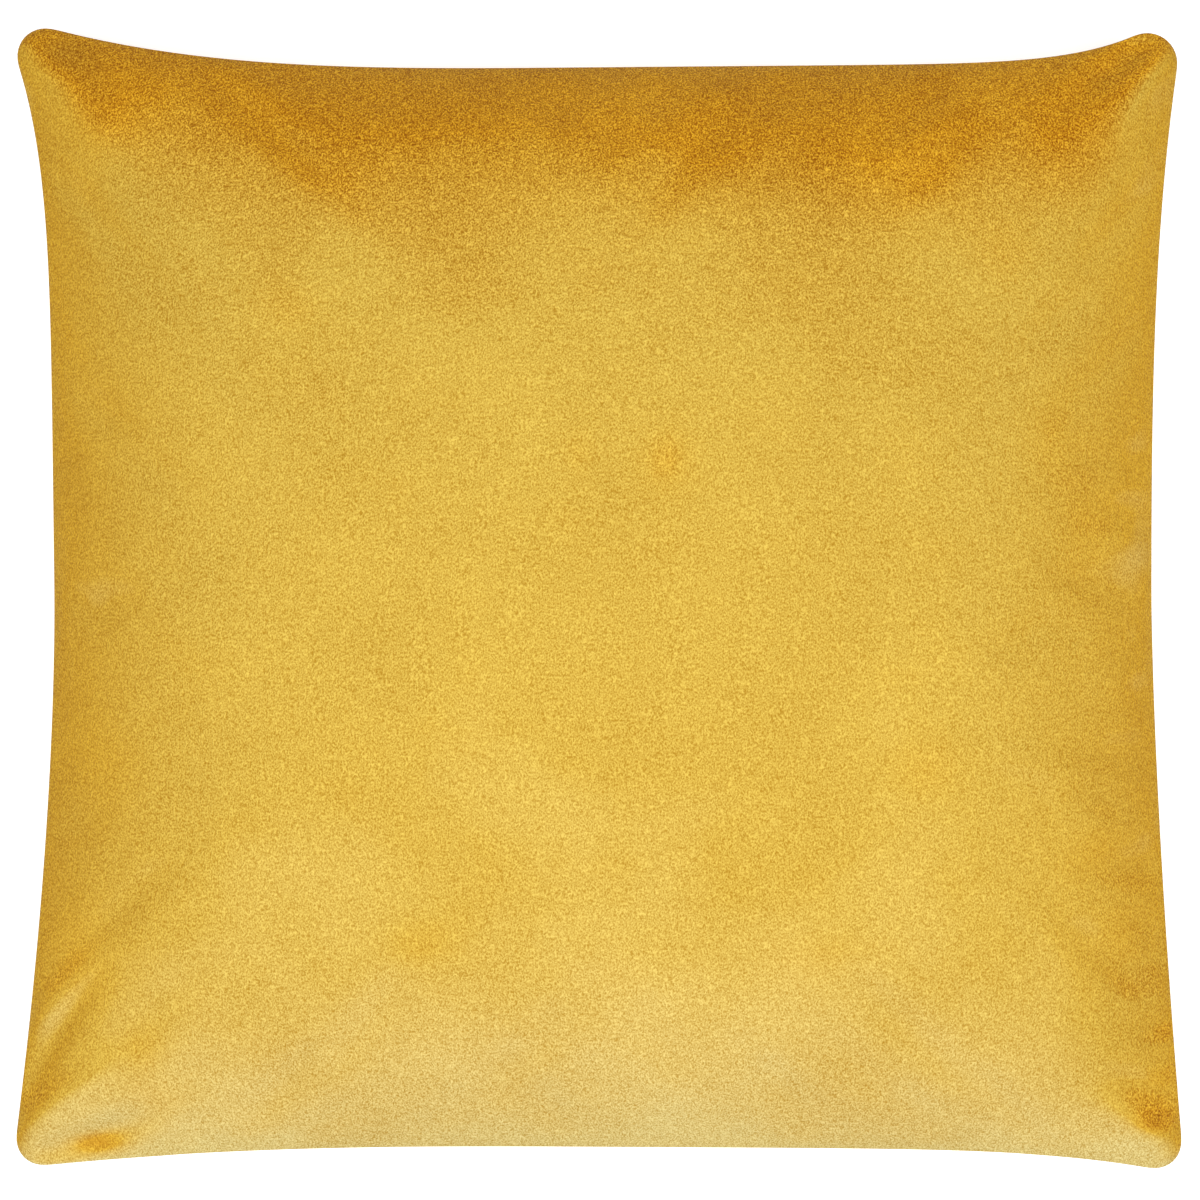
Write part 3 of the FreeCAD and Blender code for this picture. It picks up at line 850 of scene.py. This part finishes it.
def lacquerMaterial(name, paint, bare):
    material, w, shader = startMaterial(name)
    place = w.add("ShaderNodeTexCoord").outputs["Object"]
    wear = placeGroup(w, "wear", place, Amount=0.8)
    tone = w.noise(place, 300.0, 3.0, 0.5)
    shade = (*(channel * 0.7 for channel in paint[:3]), 1)
    toned = w.mix(w.spanRange(tone, 0.3, 0.7, 0.0, 0.35), paint, shade)
    w.link(w.mix(wear.outputs["Wear"], toned, bare), shader.inputs["Base Color"])
    w.link(w.spanRange(wear.outputs["Wear"], 0.0, 1.0, 0.1, 1.0), shader.inputs["Metallic"])
    w.link(w.spanRange(wear.outputs["Scratch"], 0.3, 0.7, 0.28, 0.45), shader.inputs["Roughness"])
    setSockets(shader, Coat_Weight=0.5, Coat_Roughness=0.2)
    addBump(w, shader, wear.outputs["Scratch"], 0.15, 0.03 * mm)
    return material


def metalMaterial(name, light, dark):
    material, w, shader = startMaterial(name)
    place = w.add("ShaderNodeTexCoord").outputs["Object"]
    wear = placeGroup(w, "wear", place, Amount=1.0)
    tone = w.noise(place, 700.0, 4.0, 0.6)
    w.link(w.mix(w.spanRange(tone, 0.3, 0.7), dark, light), shader.inputs["Base Color"])
    shader.inputs["Metallic"].default_value = 1.0
    w.link(w.spanRange(wear.outputs["Scratch"], 0.3, 0.7, 0.3, 0.5), shader.inputs["Roughness"])
    addBump(w, shader, wear.outputs["Scratch"], 0.2, 0.03 * mm)
    return material


def nylonMaterial(name, light, dark):
    material, w, shader = startMaterial(name)
    place = w.add("ShaderNodeTexCoord").outputs["Object"]
    tone = w.noise(place, 1500.0, 3.0, 0.6)
    w.link(w.mix(w.spanRange(tone, 0.3, 0.7), dark, light), shader.inputs["Base Color"])
    w.link(w.spanRange(tone, 0.3, 0.7, 0.35, 0.5), shader.inputs["Roughness"])
    setSockets(shader, Subsurface_Weight=0.1, Subsurface_Radius=(0.001, 0.0006, 0.0003))
    addBump(w, shader, tone, 0.1, 0.05 * mm)
    return material


def fibreMaterial():
    # loose curled fibre: streaks in wandering directions
    material, w, shader = startMaterial("whiteFibre")
    place = w.add("ShaderNodeTexCoord").outputs["Object"]
    swirl = w.add("ShaderNodeTexNoise")
    setSockets(swirl, Scale=40.0, Detail=3.0)
    w.link(place, swirl.inputs["Vector"])
    bend = w.add("ShaderNodeVectorMath", operation="MULTIPLY_ADD")
    w.link(swirl.outputs["Color"], bend.inputs[0])
    bend.inputs[1].default_value = (0.05, 0.05, 0.05)
    w.link(place, bend.inputs[2])
    strand = w.noise(w.stretch(bend.outputs[0], (0.12, 1.0, 1.0)), 900.0, 4.0, 0.7)
    clump = w.noise(place, 60.0, 3.0, 0.6)
    tone = w.math("ADD", w.math("MULTIPLY", strand, 0.6), w.math("MULTIPLY", clump, 0.4))
    w.link(
        w.mix(w.spanRange(tone, 0.35, 0.65), (0.44, 0.44, 0.43, 1), (0.72, 0.72, 0.7, 1)),
        shader.inputs["Base Color"],
    )
    w.link(w.spanRange(tone, 0.3, 0.7, 0.95, 0.8), shader.inputs["Roughness"])
    setSockets(shader, Sheen_Weight=0.3, Subsurface_Weight=0.2)
    addBump(w, shader, tone, 0.8, 1.5 * mm)
    return material


looks = {
    "velvet": velvetMaterial(),
    "tape": wovenMaterial("ochreTape", (0.55, 0.31, 0.04, 1), (0.3, 0.15, 0.02, 1), 2600.0, 0.12 * mm),
    "insertCloth": wovenMaterial(
        "insertCotton", (0.7, 0.7, 0.67, 1), (0.5, 0.5, 0.48, 1), 1500.0, 0.15 * mm
    ),
    "label": wovenMaterial(
        "labelSatin", (0.74, 0.74, 0.72, 1), (0.58, 0.58, 0.56, 1), 5200.0, 0.04 * mm,
        rough=0.45, sheen=0.3,
    ),
    "thread": threadMaterial("ochreThread", (0.66, 0.4, 0.06, 1), (0.34, 0.18, 0.02, 1)),
    "whiteThread": threadMaterial("whiteThread", (0.76, 0.76, 0.74, 1), (0.5, 0.5, 0.48, 1)),
    "lacquer": lacquerMaterial("ochreLacquer", (0.5, 0.27, 0.03, 1), (0.6, 0.57, 0.52, 1)),
    "stopMetal": metalMaterial("stopMetal", (0.75, 0.74, 0.72, 1), (0.5, 0.49, 0.47, 1)),
    "nylon": nylonMaterial("ochreNylon", (0.6, 0.34, 0.05, 1), (0.42, 0.22, 0.03, 1)),
    "fibre": fibreMaterial(),
}


def dress(piece, look, body, slot, *nodes):
    piece.data.materials.clear()
    piece.data.materials.append(looks[look])
    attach(piece, body)
    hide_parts(*nodes)
    return piece


coverSurfaces = {1: coverSurface(1), -1: coverSurface(-1)}
coverFront = clothPanel("coverFront", 1, coverSurfaces[1], turnPoint, 6, pillow["clothThick"], True)
coverBack = clothPanel("coverBack", -1, coverSurfaces[-1], turnPoint, 6, pillow["clothThick"], True)
dress(coverFront, "velvet", "pillow", "velvet", "cover_front")
dress(coverBack, "velvet", "pillow", "velvet", "cover_back")
print("cover done")


def seamLoop(inward, cells=160):
    # closed line round the pillow, that far inside the outline
    k = 1 - inward / pillow["halfWide"]
    w = np.linspace(-k, k, cells, endpoint=False)
    parts = [flatPoint(w, -k), flatPoint(k, w), flatPoint(-w, k), flatPoint(-k, -w)]
    line = np.concatenate(parts)
    return np.concatenate([line, line[:1]])


def evenSteps(line, pitch):
    total = alongLine(line, 0.0)[1]
    return alongLine(line, np.linspace(0, total, int(total / pitch) + 1))[0]


def inZipRange(x, y):
    return abs(x) < zipLine["half"] + 9 * mm and y < zipLine["y"] + 14 * mm


def threadTube(name, runs, radius, rounder=0, ends=1.0):
    # thread or wire along each run of points, narrowing to ends at both tips
    curve = bpy.data.curves.new(name + "Line", "CURVE")
    curve.dimensions = "3D"
    curve.bevel_depth = radius
    curve.bevel_resolution = rounder
    curve.use_fill_caps = True
    for run in runs:
        spline = curve.splines.new("POLY")
        spline.points.add(len(run) - 1)
        for point, place in zip(spline.points, run):
            point.co = (*place, 1.0)
        spline.points[0].radius = spline.points[-1].radius = ends
    holder = bpy.data.objects.new(name + "Line", curve)
    bpy.context.scene.collection.objects.link(holder)
    graph = bpy.context.evaluated_depsgraph_get()
    mesh = bpy.data.meshes.new_from_object(holder.evaluated_get(graph))
    bpy.data.objects.remove(holder)
    bpy.data.curves.remove(curve)
    mesh.name = name
    mesh.polygons.foreach_set("use_smooth", [True] * len(mesh.polygons))
    piece = bpy.data.objects.new(name, mesh)
    bpy.context.scene.collection.objects.link(piece)
    return piece


def stitchLine(a, b):
    # one short pass of thread, sinking into the cloth at both ends
    a, b = np.array(a), np.array(b)
    return [tuple(a + (b - a) * t) for t in (0.0, 0.14, 0.5, 0.86, 1.0)]


def stitchRun(name, line, pitch, radius, heights, skipZip):
    runs = []
    steps = evenSteps(line, pitch)
    for a, b in zip(steps[:-1], steps[1:]):
        if skipZip and inZipRange(*((a + b) / 2)):
            continue
        gap = (b - a) * 0.09
        runs += [stitchLine((*(a + gap), z), (*(b - gap), z)) for z in heights]
    return threadTube(name, runs, radius, 1, 0.35)


coverSewing = {
    "inward": 3.1 * mm,
    "pitch": 3.0 * mm,
    "radius": 0.17 * mm,
    "lift": 1.3 * mm,
    "overlockNear": 9.6 * mm,
    "overlockFar": 11.5 * mm,
    "overlockPitch": 2.4 * mm,
    "overlockRadius": 0.12 * mm,
}
seamZ = pillow["seamZ"]
coverStitches = stitchRun(
    "coverSeamStitches", seamLoop(coverSewing["inward"]), coverSewing["pitch"], coverSewing["radius"],
    (seamZ + coverSewing["lift"], seamZ - coverSewing["lift"]), True,
)
dress(coverStitches, "thread", "pillow", "sewing_thread", "cover_seam_thread")


def overlockRuns():
    near = evenSteps(seamLoop(coverSewing["overlockNear"]), coverSewing["overlockPitch"])
    far = alongLine(
        seamLoop(coverSewing["overlockFar"]),
        np.linspace(0, alongLine(seamLoop(coverSewing["overlockFar"]), 0.0)[1], len(near)),
    )[0]
    lift = coverSewing["lift"]
    runs, run = [], []
    for k in range(len(near) - 1):
        if inZipRange(*near[k]):
            if len(run) > 4:
                runs.append(run)
            run = []
            continue
        ahead = (near[k] + near[k + 1]) / 2
        top, low = seamZ + lift, seamZ - lift
        run += [(*near[k], top), (*far[k], top), (*far[k], low), (*ahead, low)]
    runs.append(run)
    return runs


overlock = threadTube("coverOverlock", overlockRuns(), coverSewing["overlockRadius"])
dress(overlock, "thread", "pillow", "sewing_thread", "cover_overlock_thread")
print("cover sewing done")

# the zip: tapes folded round the allowances, coils, sewing and the hard parts from the frame
tape = {
    "thick": 0.4 * mm,
    "round": 0.7 * mm,
    "top": 3.4 * mm,  # the leg's height off the zip's middle plane
    "inset": 0.2 * mm,
    "ripple": 0.05 * mm,
    "along": 160,
    "across": 14,
}


def tapePiece(name, side, low, high):
    # folded woven strip: the flange by the slit, then the leg along the allowance
    bm = bmesh.new()
    bmesh.ops.create_grid(bm, x_segments=tape["along"], y_segments=tape["across"], size=1.0)
    top, inset = zipLine["z"] + side * tape["top"], tape["inset"]
    start = np.array([low.y + inset, zipLine["z"] + side * (zipLine["slit"] + inset / 2)])
    bend = np.array([low.y + inset, top])
    end = np.array([high.y - inset / 2, top])
    near, past = bend - np.array([0, side * tape["round"]]), bend + np.array([tape["round"], 0])
    line = np.concatenate([[start], curveThrough(near, bend, past, 8), [end]])
    total = alongLine(line, 0.0)[1]
    flatMap = {}
    for vert in bm.verts:
        x = low.x + (vert.co.x + 1) / 2 * (high.x - low.x)
        s = (vert.co.y + 1) / 2 * total
        y, z = alongLine(line, s)[0]
        flatMap[vert] = (x, s)
        ripple = tape["ripple"] * noise.noise(Vector((x * 90, s * 60, 2.0 + side)))
        vert.co = (x, y, z - side * abs(ripple))
    mapCloth(bm, flatMap)
    if side < 0:
        bmesh.ops.reverse_faces(bm, faces=bm.faces[:])
    piece = finishMesh(name, bm)
    strip = piece.modifiers.new("strip", "SOLIDIFY")
    strip.thickness = tape["thick"] * 0.8
    strip.offset = 0.0
    return piece


tapeFront = tapePiece("zipTapeFront", 1, tapeLow, tapeHigh)
tapeBack = tapePiece("zipTapeBack", -1, tapeBackLow, tapeBackHigh)
dress(tapeFront, "tape", "pillow", "zip_tape", "zip_tape_front")
dress(tapeBack, "tape", "pillow", "zip_tape", "zip_tape_back")

coil = {
    "pitch": 1.2 * mm,
    "radius": 0.25 * mm,
    "around": 10,
}


def coilPiece(name, side, node, phase):
    # one spiral of monofilament, flattened, its heads meshed past the middle plane
    low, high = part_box(node)
    midY, halfY = (low.y + high.y) / 2, (high.y - low.y) / 2 - coil["radius"]
    midZ, halfZ = (low.z + high.z) / 2, (high.z - low.z) / 2 - coil["radius"]
    turns = int((high.x - low.x) / coil["pitch"]) - 1
    points = []
    for k in range(turns * coil["around"]):
        angle = 2 * math.pi * k / coil["around"]
        x = low.x + coil["radius"] + (k / coil["around"] + phase) * coil["pitch"]
        points.append((x, midY + halfY * math.cos(angle), midZ + side * halfZ * math.sin(angle)))
    return threadTube(name, [points], coil["radius"], 1)


coilFront = coilPiece("zipCoilFront", 1, "zip_coil_front", 0.0)
coilBack = coilPiece("zipCoilBack", -1, "zip_coil_back", 0.5)
dress(coilFront, "nylon", "pillow", "zip_coil", "zip_coil_front")
dress(coilBack, "nylon", "pillow", "zip_coil", "zip_coil_back")

zipSewing = {
    "pitch": 3.0 * mm,
    "radius": 0.16 * mm,
    "fill": 0.82,
    "row": 3.02 * mm,  # the rows' height off the middle plane
    "wobble": 0.12 * mm,
    "tackPasses": 14,
    "tackIn": 0.6 * mm,
    "tackLean": 0.35 * mm,
    "tackRadius": 0.13 * mm,
}


def zipStitches():
    low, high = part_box("zip_stitching")
    pitch = zipSewing["pitch"]
    runs = []
    y = (low.y + high.y) / 2
    for side in (1, -1):
        z = zipLine["z"] + side * zipSewing["row"]
        for k in range(int((high.x - low.x) / pitch) + 1):
            x = low.x + k * pitch
            wobble = zipSewing["wobble"] * noise.noise(Vector((k * 0.7, side, 0.3)))
            runs.append(stitchLine((x, y + wobble, z), (x + pitch * zipSewing["fill"], y - wobble, z)))
    return threadTube("zipStitches", runs, zipSewing["radius"], 1, 0.35)


def barTacks():
    low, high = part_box("zip_bar_tacks")
    runs = []
    for x in (low.x + zipSewing["tackIn"], high.x - zipSewing["tackIn"]):
        for k in range(zipSewing["tackPasses"]):
            y = low.y + (k + 0.5) / zipSewing["tackPasses"] * (high.y - low.y)
            sheenShadeFacing = zipSewing["tackLean"] * (1 if k % 2 else -1)
            runs.append([(x - sheenShadeFacing, y, low.z), (x, y, zipLine["z"]), (x + sheenShadeFacing, y, high.z)])
    return threadTube("zipBarTacks", runs, zipSewing["tackRadius"], 1, 0.8)


dress(zipStitches(), "thread", "pillow", "sewing_thread", "zip_stitching")
dress(barTacks(), "thread", "pillow", "sewing_thread", "zip_bar_tacks")
for node, look in (
    ("zip_slider", "lacquer"),
    ("zip_pull", "lacquer"),
    ("zip_top_stops", "stopMetal"),
    ("zip_bottom_stop", "stopMetal"),
):
    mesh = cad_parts[node].data
    mesh.materials.clear()
    mesh.materials.append(looks[look])
print("zip done")

# care label, blank, folded double with both ends in the seam
label = {
    "along": 24,
    "across": 9,
    "start": 4.3 * mm,  # from the outline to the ends of the strip
    "leg": 7.5 * mm,
    "apart": 0.055 * mm,  # half the distance between the two layers
    "thick": 0.09 * mm,
}
label["turn"] = math.pi * label["apart"]
label["strip"] = 2 * label["leg"] + label["turn"]


def labelFold(s):
    # distance from the strip's ends and height, at s along the flat strip
    leg, apart = label["leg"], label["apart"]
    if s < leg:
        return s, apart
    if s > leg + label["turn"]:
        return label["strip"] - s, -apart
    angle = (s - leg) / apart
    return leg + apart * math.sin(angle), apart * math.cos(angle)


def careLabel():
    low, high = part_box("care_label")
    leg, turn = label["leg"], label["turn"]
    out = np.linspace(0, leg, label["across"])
    marks = np.concatenate([out, leg + np.linspace(0, turn, label["across"])[1:-1], leg + turn + out])
    bm = bmesh.new()
    bmesh.ops.create_grid(bm, x_segments=len(marks) - 1, y_segments=label["along"], size=1.0)
    flatMap = {}
    left = outlineSides["left"]  # the side leans, so the strip follows it
    for vert in bm.verts:
        s = float(marks[gridIndex(vert, len(marks) - 1, label["along"])[0]])
        y = low.y + (vert.co.y + 1) / 2 * (high.y - low.y)
        edge = float(np.interp(y, left[:, 1], left[:, 0]))
        away, rise = labelFold(s)
        flatMap[vert] = (s, y)
        vert.co = (edge + label["start"] + away, y, (low.z + high.z) / 2 + rise)
    mapCloth(bm, flatMap)
    piece = finishMesh("careLabel", bm)
    thick = piece.modifiers.new("thick", "SOLIDIFY")
    thick.thickness = label["thick"]
    thick.offset = 0.0
    dress(piece, "label", "pillow", "label_satin", "care_label")


careLabel()

# insert and filling
insert = {
    "inset": 12.5 * mm,
    "zipExtra": 4.5 * mm,
    "gap": 1.3 * mm,  # below the cover's outer face
    "clothThick": 0.4 * mm,
    "edgeHalf": 1.2 * mm,
    "sharp": 16,
    "cells": 84,
    "threadIn": 2.2 * mm,
    "threadRise": 0.65 * mm,
    "threadRadius": 0.13 * mm,
    "closingRadius": 0.16 * mm,
    "pitch": 3.2 * mm,
    "closingPasses": 32,
}


def insideSurface(side, inset, zipExtra, below, edgeHalf, sharp, cells, lump):
    # follows the cover's inside, closing to its own edge
    u, v = gridWays(cells)
    kx = 1 - inset / pillow["halfWide"]
    kLow, kHigh = 1 - (inset + zipExtra) / pillow["halfHigh"], 1 - inset / pillow["halfHigh"]
    uu = u * kx
    vv = np.where(v < 0, v * kLow, v * kHigh)
    outer = coverSurfaces[side]
    ways = spread(np.linspace(-1, 1, pillow["cells"] + 1))
    fu = np.interp(uu, ways, np.arange(len(ways)))
    fv = np.interp(vv, ways, np.arange(len(ways)))
    i, j = np.clip(fu.astype(int), 0, len(ways) - 2), np.clip(fv.astype(int), 0, len(ways) - 2)
    a, b = (fu - i)[..., None], (fv - j)[..., None]
    grid = (
        outer[i, j] * (1 - a) * (1 - b) + outer[i + 1, j] * a * (1 - b)
        + outer[i, j + 1] * (1 - a) * b + outer[i + 1, j + 1] * a * b
    )
    rise = np.abs(grid[..., 2] - pillow["seamZ"]) - below * 1.35
    if lump:
        rise -= lump * (0.5 + 0.5 * drift(grid[..., 0], grid[..., 1], 24 * mm, 20 + side))
    fade = (1 - np.abs(u) ** sharp) * (1 - np.abs(v) ** sharp)
    grid[..., 2] = pillow["seamZ"] + side * (edgeHalf + np.maximum(rise - edgeHalf, 0) * fade)
    return grid


insertTurns = [(0.1, 0.7), (0.5, 0.25), (1.2, 0.1), (6.0, 0.08)]


def insertTurn(side, ring, u, v):
    inward, rise = insertTurns[ring]
    inset = insert["inset"] + inward * mm
    kx = 1 - inset / pillow["halfWide"]
    low = insert["zipExtra"] if v < 0 else 0.0
    ky = 1 - (inset + low) / pillow["halfHigh"]
    flat = flatPoint(u * kx, v * ky)
    return float(flat[0]), float(flat[1]), pillow["seamZ"] + side * rise * mm


for side, name, node in ((1, "insertFront", "insert_front"), (-1, "insertBack", "insert_back")):
    surface = insideSurface(
        side, insert["inset"], insert["zipExtra"], insert["gap"], insert["edgeHalf"], insert["sharp"],
        insert["cells"], 0.8 * mm,
    )
    panel = clothPanel(name, side, surface, insertTurn, 4, insert["clothThick"])
    dress(panel, "insertCloth", "pillow", "insert_cloth", node)


def insertStitches():
    inset = insert["inset"] + insert["threadIn"]
    kx = 1 - inset / pillow["halfWide"]
    kHigh, kLow = 1 - inset / pillow["halfHigh"], 1 - (inset + insert["zipExtra"]) / pillow["halfHigh"]
    w = np.linspace(-1, 1, 160)
    up = np.where(w < 0, w * kLow, w * kHigh)
    line = np.concatenate([
        flatPoint(w * kx, -kLow), flatPoint(kx, up)[1:],
        flatPoint(-w * kx, kHigh)[1:], flatPoint(-kx, up[::-1])[1:],
    ])
    heights = (seamZ + insert["threadRise"], seamZ - insert["threadRise"])
    return stitchRun(
        "insertSeamStitches", line, insert["pitch"], insert["threadRadius"], heights, False
    )


def closingStitches():
    # whipped over the insert's edge where the filling went in
    low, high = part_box("insert_closing_thread")
    ky = 1 - (insert["inset"] - 0.25 * mm) / pillow["halfHigh"]
    top = flatPoint(np.linspace(-0.5, 0.5, 400), ky)
    runs = []
    for k in range(insert["closingPasses"]):
        x = low.x + (k + 0.5) / insert["closingPasses"] * (high.x - low.x)
        y = float(np.interp(x, top[:, 0], top[:, 1]))
        runs.append(stitchLine((x - 0.5 * mm, y, low.z), (x + 0.5 * mm, y, high.z)))
    return threadTube("insertClosingStitches", runs, insert["closingRadius"], 1, 0.4)


dress(insertStitches(), "whiteThread", "pillow", "white_thread", "insert_seam_thread")
dress(closingStitches(), "whiteThread", "pillow", "white_thread", "insert_closing_thread")


filling = {"cells": 64, "inset": 2.4 * mm, "gap": 0.9 * mm, "sharp": 14, "lumps": 2.0 * mm}


def fibreFill():
    bm = bmesh.new()
    cells = filling["cells"]
    for side in (1, -1):
        surface = insideSurface(
            side, insert["inset"] + filling["inset"], insert["zipExtra"], insert["gap"] + filling["gap"],
            0.0, filling["sharp"], cells, filling["lumps"],
        )
        made = bmesh.ops.create_grid(bm, x_segments=cells, y_segments=cells, size=1.0)["verts"]
        for vert in made:
            vert.co = surface[gridIndex(vert, cells, cells)]
        if side < 0:
            faces = {face for vert in made for face in vert.link_faces}
            bmesh.ops.reverse_faces(bm, faces=list(faces))
    bmesh.ops.remove_doubles(bm, verts=bm.verts[:], dist=0.02 * mm)
    for face in bm.faces:
        face.smooth = True
    piece = finishMesh("fibreFill", bm)
    fine = piece.modifiers.new("fine", "SUBSURF")
    fine.levels = fine.render_levels = 1
    return piece


fill = dress(fibreFill(), "fibre", "pillow", "polyester_fibre", "fibre_fill")
print("insert done")

# stage, light and camera
studio = {
    "floorTone": (0.7, 0.7, 0.7, 1),
    "floorGlow": 0.64,
    "world": 0.16,
    "backdrop": 1.1,
    "keyPower": 47.0,
    "lens": 85.0,
    "frameWide": 463.6 * mm,
}


def makeStage():
    bm = bmesh.new()
    bmesh.ops.create_grid(bm, x_segments=1, y_segments=1, size=3.0)
    floor = finishMesh("studioFloor", bm)
    material, w, shader = startMaterial("paleFloor")
    setSockets(
        shader, Base_Color=studio["floorTone"], Roughness=0.9, Specular_IOR_Level=0.1,
        Emission_Color=(1, 1, 1, 1), Emission_Strength=studio["floorGlow"],
    )
    floor.data.materials.append(material)
    world = bpy.data.worlds.new("studioWorld")
    world.use_nodes = True
    background = world.node_tree.nodes["Background"]
    background.inputs["Color"].default_value = (1, 1, 1, 1)
    w = Wiring(world.node_tree)
    seen = w.add("ShaderNodeLightPath").outputs["Is Camera Ray"]
    w.link(w.spanRange(seen, 0.0, 1.0, studio["world"], studio["backdrop"]), background.inputs["Strength"])
    bpy.context.scene.world = world


def areaLight(name, place, target, size, power):
    data = bpy.data.lights.new(name, "AREA")
    data.shape = "RECTANGLE"
    data.size, data.size_y = size
    data.energy = power
    light = bpy.data.objects.new(name, data)
    light.location = place
    light.rotation_euler = (Vector(target) - Vector(place)).to_track_quat("-Z", "Y").to_euler()
    bpy.context.scene.collection.objects.link(light)


def makeCamera():
    data = bpy.data.cameras.new("camera")
    data.lens = studio["lens"]
    data.sensor_width = 36.0
    camera = bpy.data.objects.new("camera", data)
    distance = studio["frameWide"] * studio["lens"] / data.sensor_width
    camera.location = (0.6 * mm, -0.8 * mm, seamZ + distance)
    camera.rotation_euler = (0, 0, 0)
    bpy.context.scene.collection.objects.link(camera)
    bpy.context.scene.camera = camera


makeStage()
areaLight("keyLight", (0.05, -0.35, 1.9), (0, 0, 0.06), (1.0, 1.0), studio["keyPower"])
makeCamera()
bpy.context.scene.view_settings.view_transform = "Standard"
print("studio done")
